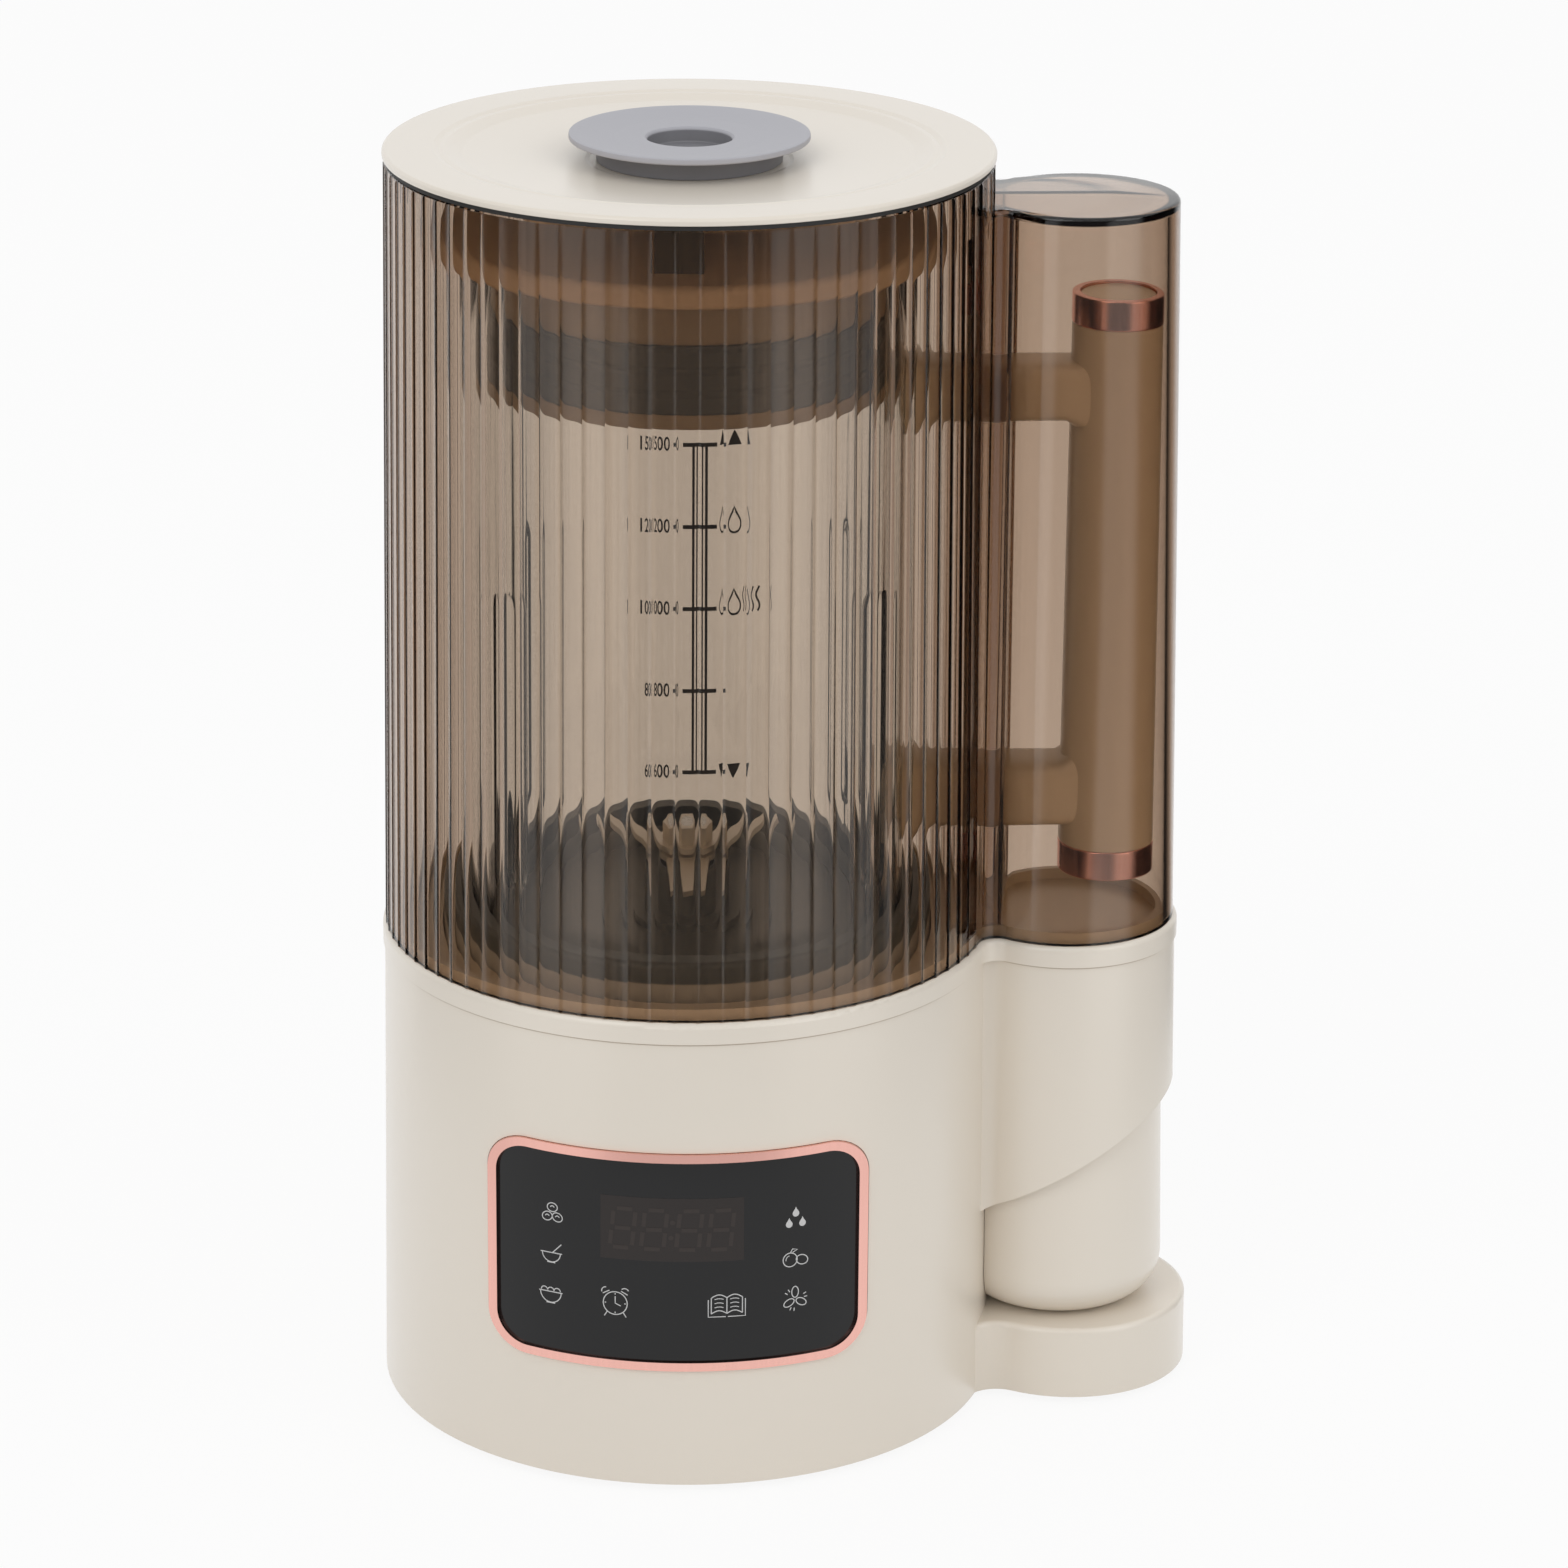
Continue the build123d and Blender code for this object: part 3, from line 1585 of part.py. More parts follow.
clip_place = gasket_radius - gasket_width - fit_gap - clip_thickness / 2
clip_turn = -90 - panel_turn
with BuildPart() as hood_clips:
    with BuildSketch(Plane.XY.offset(plate_level)):
        with PolarLocations(clip_place, clip_count, start_angle=clip_turn):
            Rectangle(clip_thickness, clip_width)
    extrude(amount=-clip_length)
save(hood_clips, "hood_clips")

# Vent plug
plug_top_level = plug_seat_level + plug_neck_height + plug_disc_thickness
with BuildPart() as vent_plug:
    turned(
        (0, plug_seat_level - plug_stem_height),
        (plug_stem_radius, plug_seat_level - plug_stem_height),
        (plug_stem_radius, plug_seat_level),
        (plug_neck_radius, plug_seat_level),
        (plug_neck_radius, plug_seat_level + plug_neck_height),
        (plug_disc_radius, plug_seat_level + plug_neck_height),
        (plug_disc_radius, plug_top_level),
        (plug_cup_radius, plug_top_level - plug_disc_dish),
        (plug_cup_radius, plug_top_level - plug_disc_dish - plug_cup_depth),
        (0, plug_top_level - plug_disc_dish - plug_cup_depth),
    )
    fillet(
        vent_plug.edges().filter_by(GeomType.CIRCLE).sort_by(SortBy.RADIUS)[-2:],
        plug_edge_round,
    )
save(vent_plug, "vent_plug")
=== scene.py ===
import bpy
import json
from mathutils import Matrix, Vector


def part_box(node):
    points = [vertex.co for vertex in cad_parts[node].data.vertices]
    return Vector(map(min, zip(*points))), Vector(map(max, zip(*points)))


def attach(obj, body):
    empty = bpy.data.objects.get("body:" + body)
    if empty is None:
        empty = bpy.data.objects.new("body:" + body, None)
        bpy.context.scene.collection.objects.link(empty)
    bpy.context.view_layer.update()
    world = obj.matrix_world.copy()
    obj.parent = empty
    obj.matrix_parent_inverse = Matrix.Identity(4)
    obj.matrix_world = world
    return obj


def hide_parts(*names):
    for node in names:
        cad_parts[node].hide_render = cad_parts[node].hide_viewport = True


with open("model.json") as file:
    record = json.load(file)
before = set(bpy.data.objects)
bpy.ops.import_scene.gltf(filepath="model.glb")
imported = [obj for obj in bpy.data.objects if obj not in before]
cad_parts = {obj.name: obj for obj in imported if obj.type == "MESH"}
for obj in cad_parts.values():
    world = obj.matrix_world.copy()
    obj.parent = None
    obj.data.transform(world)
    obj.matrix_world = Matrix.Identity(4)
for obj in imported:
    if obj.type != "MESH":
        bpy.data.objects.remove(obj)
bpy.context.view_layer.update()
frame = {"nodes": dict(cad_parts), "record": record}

import json
from math import acos, atan2, copysign, cos, hypot, log, pi, radians, sin, sqrt, tan, tau

import bmesh
import bpy
from bpy.props import FloatProperty, FloatVectorProperty, IntProperty, PointerProperty
from mathutils import Matrix, Vector

bl_info = {
    "name": "Soy Milk Maker",
    "version": (1, 0, 0),
    "blender": (4, 5, 0),
    "location": "3D View > Sidebar > Soy Milk Maker",
    "description": "Dresses a soy milk maker with a reeded smoky hood over a glass jug",
    "category": "Object",
}

MM = 0.001


def levels_of(node):
    """Lowest and highest level of a carried node, in millimetres above the table."""
    return [corner.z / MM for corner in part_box(node)]


def reach_of(node):
    """How far a carried node reaches from the main axis, in millimetres."""
    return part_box(node)[1].y / MM


HOOD_FOOT, HOOD_TOP = levels_of("hood_shell")
GLASS_FOOT, GLASS_TOP = levels_of("jug_glass")
GLASS_RADIUS = reach_of("jug_glass")

# Distances of the column and the grip from the main axis, and the middle of the panel
COLUMN_OUT = 104.4
GRIP_OUT = 115.0
LENS_MIDDLE = 67.1
PANEL_TURN = radians(-4)


def length(name, description, default):
    """A length property in metres."""
    more = {"min": 0, "subtype": "DISTANCE", "unit": "LENGTH"}
    return FloatProperty(name=name, description=description, default=default, **more)


def colour(name, description, default):
    """A colour property."""
    more = {"min": 0, "max": 1, "size": 3, "subtype": "COLOR"}
    return FloatVectorProperty(name=name, description=description, default=default, **more)


class SoyMakerSizes(bpy.types.PropertyGroup):
    """Sizes that a user of the part would change."""

    reeds: IntProperty(
        name="Flutes", description="Flutes round the hood", default=84, min=12, max=200
    )
    reed_depth: length("Flute depth", "How far the ridges stand out of the flutes", 0.27 * MM)
    hood_wall: length("Hood wall", "Wall of the hood", 2.8 * MM)
    hood_radius: length("Hood radius", "Crest of the reeds at the bottom", 83.26 * MM)
    hood_top_radius: length("Hood top radius", "Crest of the reeds at the top", 80.9 * MM)
    column_radius: length("Column radius", "Hood column at the bottom", 30 * MM)
    column_height: length("Column height", "Hood column above the deck", 203.3 * MM)
    glass_wall: length("Glass wall", "Wall of the jug's glass", 3.4 * MM)
    rib_depth: length("Rib depth", "How far the flow ribs press into the jug", 2.2 * MM)
    scale_line: length("Scale line", "Width of the lines of the jug's scale", 1.45 * MM)
    number_height: length("Number height", "Height of the numbers on the jug's scale", 3.7 * MM)


class SoyMakerColours(bpy.types.PropertyGroup):
    """Colours that a user of the part would change."""

    cream: colour("Cream plastic", "Housing, deck and top plate", (0.75, 0.69, 0.605))
    # The lid's cream, darkened and browned: painted shade from the top plate and the smoky walls
    # over it
    lid_cream: colour("Lid plastic", "Cap and plug of the jug's lid", (0.5, 0.395, 0.31))
    smoke: colour("Smoke", "What is left of white light after one hood wall", (0.693, 0.603, 0.527))
    plug: colour("Vent plug", "Soft grey plug", (0.4, 0.4, 0.435))
    rose: colour("Rose metal", "Panel frame and handle rings", (0.85, 0.475, 0.41))
    collar: colour("Collar", "Dark collar under the jug's glass", (0.1, 0.114, 0.12))
    dark: colour("Dark plastic", "Drive parts", (0.035, 0.034, 0.033))
    lens: colour("Panel", "Dark panel lens", (0.006, 0.006, 0.0065))
    print: colour("Scale print", "Lines and numbers on the jug", (0.012, 0.011, 0.011))
    icons: colour("Panel icons", "Pale signs on the panel", (0.55, 0.55, 0.55))


# Shading


def overload(operation, reflected=False):
    """A method that adds a Math node for one of Python's operators."""

    def apply(wire, other):
        first, second = (other, wire) if reflected else (wire, other)
        return wire.shading.maths(operation, first, second)

    return apply


class Wire:
    """A shader output that takes part in plain arithmetic."""

    def __init__(self, shading, socket):
        self.shading = shading
        self.socket = socket

    __add__ = __radd__ = overload("ADD")
    __mul__ = __rmul__ = overload("MULTIPLY")
    __sub__ = overload("SUBTRACT")
    __rsub__ = overload("SUBTRACT", reflected=True)
    __truediv__ = overload("DIVIDE")
    __rtruediv__ = overload("DIVIDE", reflected=True)


class Shading:
    """The node tree of one material or world."""

    def __init__(self, owner):
        owner.use_nodes = True
        self.tree = owner.node_tree
        self.tree.nodes.clear()

    def node(self, kind, settings=None, inputs=None, output=0):
        """Adds a node, makes its settings, sets or links its sockets and returns an output."""
        made = self.tree.nodes.new(kind)
        for key, value in (settings or {}).items():
            setattr(made, key, value)
        for key, value in (inputs or {}).items():
            if isinstance(value, Wire):
                self.tree.links.new(value.socket, made.inputs[key])
            elif value is not None:
                made.inputs[key].default_value = value
        return None if output is None else Wire(self, made.outputs[output])

    def place(self):
        return self.node("ShaderNodeTexCoord", output="Object")

    def height(self):
        """Height of the shaded point above the table, in metres."""
        return self.parts(self.place())[2]

    def noise(self, scale, detail, stretch=(1, 1, 1)):
        """A cloudy pattern whose scale counts features in a metre."""
        place = self.node("ShaderNodeMapping", {}, {"Vector": self.place(), "Scale": stretch})
        inputs = {"Vector": place, "Scale": scale, "Detail": detail}
        return self.node("ShaderNodeTexNoise", {}, inputs)

    def blend(self, amount, first, second):
        """A colour between two colours."""
        inputs = {0: amount, 6: as_colour(first), 7: as_colour(second)}
        return self.node("ShaderNodeMix", {"data_type": "RGBA"}, inputs, output=2)

    def ramp(self, value, low, high):
        """0 below one value and 1 above another, smoothly."""
        inputs = {"Value": value, "From Min": low, "From Max": high}
        return self.node("ShaderNodeMapRange", {"interpolation_type": "SMOOTHSTEP"}, inputs)

    def more(self, first, second):
        return self.maths("MAXIMUM", first, second)

    def maths(self, operation, first, second):
        return self.node("ShaderNodeMath", {"operation": operation}, {0: first, 1: second})

    def parts(self, vector):
        split = self.node("ShaderNodeSeparateXYZ", {}, {"Vector": vector})
        return [Wire(self, one) for one in split.socket.node.outputs]

    def ray(self, kind):
        return self.node("ShaderNodeLightPath", output=kind)

    def mirrored(self):
        """1 for light that comes off a glossy surface or through a clear one."""
        return self.more(self.ray("Is Glossy Ray"), self.ray("Is Transmission Ray"))

    def inside(self):
        """1 for light on its way to a dull surface, such as the handle inside the hood."""
        return self.maths("MINIMUM", self.ray("Diffuse Depth"), 1)

    def bump(self, height, distance):
        inputs = {"Height": height, "Distance": distance, "Strength": 1.0}
        return self.node("ShaderNodeBump", {}, inputs, "Normal")

    def grain(self, depth):
        """Fine satin grain of moulded plastic, with its depth in millimetres."""
        return self.bump(self.noise(GRAIN_SCALE, 3), depth * MM)


def as_colour(value):
    return value if isinstance(value, Wire) else (*value, 1)


def shaded(name, make):
    """The named material, made once. The frame's plain materials already hold the slots' names."""
    name += "_finish"
    found = bpy.data.materials.get(name)
    if found is None:
        found = bpy.data.materials.new(name)
        shading = Shading(found)
        result = make(shading)
        surface, volume = result if isinstance(result, tuple) else (result, None)
        ends = {"Surface": surface, "Volume": volume}
        shading.node("ShaderNodeOutputMaterial", {}, ends, output=None)
    return found


def principled(shading, base, roughness, **more):
    inputs = {"Base Color": as_colour(base), "Roughness": roughness}
    for key, value in more.items():
        inputs[key.replace("_", " ").title().replace("Ior", "IOR")] = value
    return shading.node("ShaderNodeBsdfPrincipled", {}, inputs)


def drift(shading, pattern, base, darker, lighter):
    """A colour that drifts a little with a pattern."""
    return shading.blend(pattern, [c * darker for c in base], [min(1, c * lighter) for c in base])


def moulded(name, base, roughness, grain=0.012, over=None, **more):
    """Moulded plastic: a fine satin grain, slightly uneven gloss and a faint drift of tone."""

    def make(shading):
        broad = shading.noise(DRIFT_SCALE, 2)
        tone = drift(shading, broad, base, 0.985, 1.015)
        if over:
            tone = over(shading, tone)
        gloss = broad * PLASTIC_SPREAD + (roughness - PLASTIC_SPREAD / 2)
        return principled(shading, tone, gloss, normal=shading.grain(grain), **more)

    return shaded(name, make)


def banded(name, edge, lower, upper, roughness, grain):
    """Moulded plastic of one tone below a height and another above it."""

    def make(shading):
        share = shading.ramp(shading.height(), edge[0] * MM, edge[1] * MM)
        tone = shading.blend(share, lower, upper)
        return principled(shading, tone, roughness, normal=shading.grain(grain))

    return shaded(name, make)


def metal(name, base, roughness, stretch=(1, 1, 1), grain=0.01, scale=1400, metallic=1.0):
    """Metal with drawn lines or cast grain."""

    def make(shading):
        lines = shading.noise(scale, 3, stretch)
        tone = drift(shading, lines, base, 0.93, 1.05)
        gloss = lines * METAL_SPREAD + (roughness - METAL_SPREAD / 2)
        normal = shading.bump(lines, grain * MM)
        return principled(shading, tone, gloss, metallic=metallic, normal=normal)

    return shaded(name, make)


def clear(name, base, roughness, ior, volume=None):
    """Clear glass or plastic, with what its inside takes from the light."""

    def make(shading):
        surface = principled(shading, base, roughness, transmission_weight=1.0, ior=ior)
        return (surface, volume(shading)) if volume else surface

    return shaded(name, make)


# Features in a metre
GRAIN_SCALE = 2600
DRIFT_SCALE = 14

# How far the roughness wanders
PLASTIC_SPREAD = 0.06
METAL_SPREAD = 0.12

# A satin coat on the cream pieces
CREAM_ROUGHNESS = 0.34
CREAM_COAT = {"coat_weight": 0.5, "coat_roughness": 0.25}

# The shadow line under the lip, in millimetres, and its shares of the cream
LIP_SHADOW = 0.6
LIP_TINT = (0.6, 0.54, 0.48)

# Edges between two tones, in millimetres: above the table, and below the plug's top, where the
# plug's darker tone below is painted shade
COLLAR_EDGE = (139.8, 140.6)
PLUG_SHADE_EDGE = (2.4, 1.5)
# Tone of the collar below its edge: painted light on the front of the collar's foot
COLLAR_PAINTED_LIGHT_BAND = (0.44, 0.44, 0.43)

# Room above the strongest share that the smoke takes
SMOKE_ROOM = 1.25

LENS_IOR = 1.4


def chosen(key):
    """One of the colours in the sidebar."""
    return tuple(getattr(bpy.context.scene.soy_maker_colours, key))


def housing_plastic():
    """The cream plastic with a thin shadow line under the lip that overhangs it."""
    base = chosen("cream")
    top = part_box("base_housing")[1].z

    def under_lip(shading, tone):
        line = shading.ramp(shading.height(), top - LIP_SHADOW * MM, top - LIP_SHADOW / 2 * MM)
        return shading.blend(line, tone, [c * share for c, share in zip(base, LIP_TINT)])

    return moulded("housing_plastic", base, CREAM_ROUGHNESS, over=under_lip, **CREAM_COAT)


def smoky_plastic(name):
    """Clear plastic that takes light by its thickness."""
    wall = bpy.context.scene.soy_maker_sizes.hood_wall
    taken = [-log(share) / wall for share in chosen("smoke")]
    density = max(taken) * SMOKE_ROOM
    inputs = {"Color": (*[1 - one / density for one in taken], 1), "Density": density}

    def smoke(shading):
        return shading.node("ShaderNodeVolumeAbsorption", {}, inputs)

    return clear(name, (1, 1, 1), 0.015, 1.5, smoke)


# The plug's grey, halved below its disc: painted shade on its neck and inside its cup
def plug_silicone(name):
    base = chosen("plug")
    edge = [levels_of("vent_plug")[1] - below for below in PLUG_SHADE_EDGE]
    return banded(name, edge, [c * 0.5 for c in base], base, 0.48, 0.02)


def collar_plastic():
    """Dark plastic with a paler band round the foot, painted light where the front of the collar's
    foot is lit.
    """
    return banded("collar_plastic", COLLAR_EDGE, COLLAR_PAINTED_LIGHT_BAND, chosen("collar"), 0.42, 0.015)


# The finish of each of the record's slots
FINISHES = {
    "cream_plastic": lambda name: moulded(name, chosen("cream"), CREAM_ROUGHNESS, **CREAM_COAT),
    "smoky_plastic": smoky_plastic,
    "clear_glass": lambda name: clear(name, (0.97, 0.985, 0.98), 0.0, 1.47),
    "rose_metal": lambda name: metal(name, chosen("rose"), 0.24, (1, 1, 0.05), 0.004, 900),
    "panel_black": lambda name: moulded(name, chosen("lens"), 0.09, 0.001, ior=LENS_IOR),
    "plug_silicone": plug_silicone,
    "dark_plastic": lambda name: moulded(name, chosen("dark"), 0.3, 0.01),
    "black_rubber": lambda name: moulded(name, (0.02, 0.019, 0.018), 0.6, 0.03),
    "smoky_clip": lambda name: moulded(name, (0.06, 0.046, 0.032), 0.3),
    "steel": lambda name: metal(name, (0.62, 0.61, 0.6), 0.28, (1, 1, 0.08)),
    "motor_iron": lambda name: metal(name, (0.3, 0.3, 0.31), 0.45, (0.1, 0.1, 4), scale=500),
    "copper_wire": lambda name: metal(name, (0.74, 0.33, 0.15), 0.3, (0.2, 0.2, 3), scale=900),
    "contact_brass": lambda name: metal(name, (0.8, 0.6, 0.26), 0.25),
    "cast_aluminium": lambda name: metal(name, (0.62, 0.62, 0.63), 0.45, grain=0.03, scale=700),
    "carbon": lambda name: moulded(name, (0.02, 0.02, 0.021), 0.55, 0.02),
    "board_green": lambda name: moulded(name, (0.02, 0.16, 0.06), 0.35),
}

SLOTS = {part["node"]: part["material_slot"] for part in frame["record"]["subparts"]}


def paint(*nodes, material=None):
    """Gives carried nodes a material, or that of their slots."""
    for node in nodes:
        materials = frame["nodes"][node].data.materials
        materials.clear()
        materials.append(material or FINISHES[SLOTS[node]](SLOTS[node]))


def paint_bodies(*bodies):
    """Gives every visible carried node of some bodies the material of its slot."""
    for body in bodies:
        nodes = frame["record"]["behaviour"]["bodies"][body]
        paint(*(node for node in nodes if not frame["nodes"][node].hide_render))


# Mesh making. Points are in millimetres here and metres in the mesh.

# Points this close are merged and edges this short are dropped, in metres
MERGED = 0.002 * MM
SLIVER = 0.0005 * MM


def placed(name, data):
    """A new object in the scene."""
    made = bpy.data.objects.new(name, data)
    bpy.context.scene.collection.objects.link(made)
    return made


def add_piece(name, skin, slot, body, replaced=(), material=None, sharp=35, closed=True):
    """Makes a piece from a skin, and lets it ride on its body."""
    mesh = skin.mesh(name)
    work = bmesh.new()
    work.from_mesh(mesh)
    bmesh.ops.remove_doubles(work, verts=work.verts, dist=MERGED)
    bmesh.ops.dissolve_degenerate(work, edges=work.edges, dist=SLIVER)
    if closed:
        bmesh.ops.recalc_face_normals(work, faces=work.faces)
    work.to_mesh(mesh)
    work.free()
    mesh.shade_smooth()
    mesh.set_sharp_from_angle(angle=radians(sharp))
    mesh.materials.append(material or FINISHES[slot](slot))
    piece = placed(name, mesh)
    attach(piece, body)
    if replaced:
        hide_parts(*replaced)


class Skin:
    """Points and faces of one piece while it is made."""

    def __init__(self):
        self.points = []
        self.faces = []

    def row(self, points):
        start = len(self.points)
        self.points.extend(points)
        return list(range(start, len(self.points)))

    def between(self, low, high, closed=True):
        """Faces between two rows with the same number of points."""
        for i in range(len(low) if closed else len(low) - 1):
            j = (i + 1) % len(low)
            self.faces.append((low[i], low[j], high[j], high[i]))

    def join(self, rows, closed=True):
        for low, high in zip(rows, rows[1:]):
            self.between(low, high, closed)

    def rows(self, rows):
        made = [self.row(points) for points in rows]
        self.join(made)
        return made

    def ends(self, first, last):
        """One face over each of two rows."""
        self.faces += [tuple(first), tuple(reversed(last))]

    def mesh(self, name):
        made = bpy.data.meshes.new(name)
        made.from_pydata([Vector(point) * MM for point in self.points], [], self.faces)
        return made


def between(low, high, share):
    return low + (high - low) * share


def share_of(value):
    """A value kept between 0 and 1."""
    return min(1.0, max(0.0, value))


def angle_off(angle):
    """An angle brought between minus and plus half a turn."""
    return (angle + pi) % tau - pi


def polar(radius, angle, level, middle=0):
    return (middle + radius * cos(angle), radius * sin(angle), level)


def arc(centre, radius, start, end, steps):
    """Points of an arc in a plane, both ends included."""
    angles = [start + (end - start) * i / steps for i in range(steps + 1)]
    return [(centre[0] + radius * cos(a), centre[1] + radius * sin(a)) for a in angles]


def rounded(corners, steps, closed):
    """A plane outline whose corners, given with their radii, are rounded."""
    made = []
    count = len(corners)
    for i, (x, y, radius) in enumerate(corners):
        here = Vector((x, y))
        before = Vector(corners[i - 1][:2]) - here
        after = Vector(corners[(i + 1) % count][:2]) - here
        ends = not closed and i in (0, count - 1)
        if radius <= 0 or ends:
            made.append(tuple(here))
            continue
        turn = before.angle(after)
        reach = min(radius / tan(turn / 2), before.length / 2.02, after.length / 2.02)
        a, b = here + before.normalized() * reach, here + after.normalized() * reach
        for step in range(steps + 1):
            t = step / steps
            made.append(tuple(a * (1 - t) ** 2 + here * 2 * t * (1 - t) + b * t**2))
    return made


def turned(corners, steps, segments=192, middle=0, solid=False):
    """Turns corners, given as radius, level and rounding, into a ring or a solid."""
    skin = Skin()
    rows = skin.rows(
        [polar(radius, tau * k / segments, level, middle) for k in range(segments)]
        for radius, level in rounded(corners, steps, not solid)
    )
    if not solid:
        skin.between(rows[-1], rows[0])
    return skin


# Hood

# The column: radius of the arcs beside it, draft in degrees and rounding of its top edge
OUTSIDE = (5, 1.09, 1.2)
INSIDE = (4, 1.24, 0.4)

# How much thicker the wall is beside the column, where the two walls run together, and how
# far that goes, in millimetres and radians
NECK_WEB, NECK_WEB_REACH = 2.6, 0.22

# How much deeper the flutes are at the two sides than in front, as a share
SIDE_DEPTH = 0.8

# Flutes on each side of the column that the neck runs into
EDGE_FLUTES = 5

# Places of the points across one flute, from its left ridge
FLUTE_HALF = (0.25, 0.5, 0.67, 0.79, 0.88, 0.95)
FLUTE_SHARES = (-1, *(-share for share in reversed(FLUTE_HALF)), 0, *FLUTE_HALF)

# How far the middle of the column's top rises over its edge
COLUMN_CROWN = 1.1

# The outside's rounding at the hood's top: distance down, and how much of the ridge is gone
TOP_ROUND = ((1.0, 0.0), (0.45, 0.25), (0, 0.85))


def keyhole_section(main, lobe, neck):
    """Tangent angle on the main circle, and the outline from there round the lobe and back."""
    reach = main + neck
    share = (reach**2 + COLUMN_OUT**2 - (lobe + neck) ** 2) / (2 * reach * COLUMN_OUT)
    tangent = acos(share)
    middle = (reach * cos(tangent), reach * sin(tangent))
    angle = atan2(middle[1], middle[0] - COLUMN_OUT)
    upper = arc(middle, neck, tangent + pi, angle + pi, 10)
    lower = [(x, -y) for x, y in reversed(upper)]
    return tangent, upper + arc((COLUMN_OUT, 0), lobe, angle, -angle, 96)[1:-1] + lower


class HoodOutline:
    """Rows of points round one side of the wall: the main wall, then the column's lobe."""

    def __init__(self, sizes, outside):
        self.sizes = sizes
        self.outside = outside
        self.neck, self.draft, self.edge_round = OUTSIDE if outside else INSIDE
        self.inset = 0.0 if outside else sizes.hood_wall / MM
        self.depth = sizes.reed_depth / MM
        self.pitch = tau / sizes.reeds
        self.edge = EDGE_FLUTES * self.pitch

    def main(self, level):
        share = (level - HOOD_FOOT) / (HOOD_TOP - HOOD_FOOT)
        crest = between(self.sizes.hood_radius, self.sizes.hood_top_radius, share) / MM
        return crest - (self.depth if self.outside else self.inset)

    def lobe(self, level):
        draft = tan(radians(self.draft))
        return self.sizes.column_radius / MM - self.inset - draft * (level - HOOD_FOOT)

    def out(self, angle, level, tangent, less):
        """Distance from the main axis: outside, shallow flutes between sharp ridges."""
        radius = self.main(level)
        off = tau if tangent is None else abs(angle_off(angle)) - tangent
        if not self.outside:
            share = share_of(off / NECK_WEB_REACH)
            return radius - NECK_WEB * 4 * share * (1 - share)
        fade = share_of(off / self.pitch)
        profile = (2 * (angle / self.pitch % 1) - 1) ** 4
        sink = self.depth * SIDE_DEPTH * cos(angle) ** 4 * fade * (1 - profile)
        ridge = max(0.0, self.depth * profile * fade - less) - max(0.0, less - self.depth)
        return radius + ridge - sink

    def main_row(self, level, tangent, less=0.0):
        first = [between(tangent, self.edge, i / 6) for i in range(1, 6)]
        middle = [
            self.edge + self.pitch * (reed + (1 + share) / 2)
            for reed in range(self.sizes.reeds - 2 * EDGE_FLUTES)
            for share in FLUTE_SHARES
        ]
        last = [tau - angle for angle in (self.edge, *reversed(first))]
        angles = first + middle + last
        return [polar(self.out(angle, level, tangent, less), angle, level) for angle in angles]

    def lobe_row(self, level, inset):
        lobe = self.lobe(level) - inset
        tangent, outline = keyhole_section(self.main(level), lobe, self.neck)
        return tangent, [(x, y, level) for x, y in reversed(outline)]

    def mouth_row(self, level, tangent, count, less=0.0):
        """The main wall across the column, from one tangent to the other."""
        row = []
        for i in range(count):
            angle = between(-tangent, tangent, i / (count - 1))
            radius = self.main(level)
            if 0 < i < count - 1:
                radius = self.out(angle % tau, level, None, less)
            row.append(polar(radius, angle, level))
        return row


def hood_surface(skin, outline, top):
    """One side of the hood's wall. Returns its bottom and top rows."""
    levels = [(HOOD_FOOT, 0.0)]
    for degrees in range(0, 91, 15):
        down, inset = (
            outline.edge_round * (1 - turn(radians(degrees))) for turn in (sin, cos)
        )
        levels.append((top - down, inset))
    rows = []
    for level, inset in levels:
        tangent, lobe = outline.lobe_row(level, inset)
        rows.append(skin.row(outline.main_row(level, tangent) + lobe))
    skin.join(rows)
    count = len(lobe)
    rim, mouth = skin.points[-count:], outline.mouth_row(top, tangent, count)
    ridge = max(abs(y) for _, y, _ in rim)
    cap = [rows[-1][-count:]]
    for step in range(1, 13):
        share = step / 12
        row = []
        for start, end in zip(rim, mouth):
            x, y = (between(start[i], end[i], share) for i in (0, 1))
            row.append((x, y, top + COLUMN_CROWN * (1 - abs(y) / ridge) * min(1, share * 3)))
        cap.append(skin.row(row))
    skin.join(cap, closed=False)
    upper = [rows[-1][:-count] + cap[-1]]
    for below, less in TOP_ROUND:
        level, less = HOOD_TOP - below, less if outline.outside else 0.0
        row = outline.main_row(level, tangent, less)
        upper.append(skin.row(row + outline.mouth_row(level, tangent, count, less)))
    skin.join(upper)
    return rows[0], upper[-1]


class SOYMAKER_OT_hood(bpy.types.Operator):
    """Make the reeded smoky hood with its column"""

    bl_idname = "soymaker.hood"
    bl_label = "Hood"

    def execute(self, context):
        sizes = context.scene.soy_maker_sizes
        top = HOOD_FOOT + sizes.column_height / MM - COLUMN_CROWN
        skin = Skin()
        outer = hood_surface(skin, HoodOutline(sizes, True), top)
        inner = hood_surface(skin, HoodOutline(sizes, False), top - sizes.hood_wall / MM)
        skin.between(inner[0], outer[0])
        skin.between(outer[1], inner[1])
        add_piece("hood_wall", skin, "smoky_plastic", "hood", ("hood_shell",), sharp=30)
        paint("hood_gasket", "hood_clips")
        return {"FINISHED"}


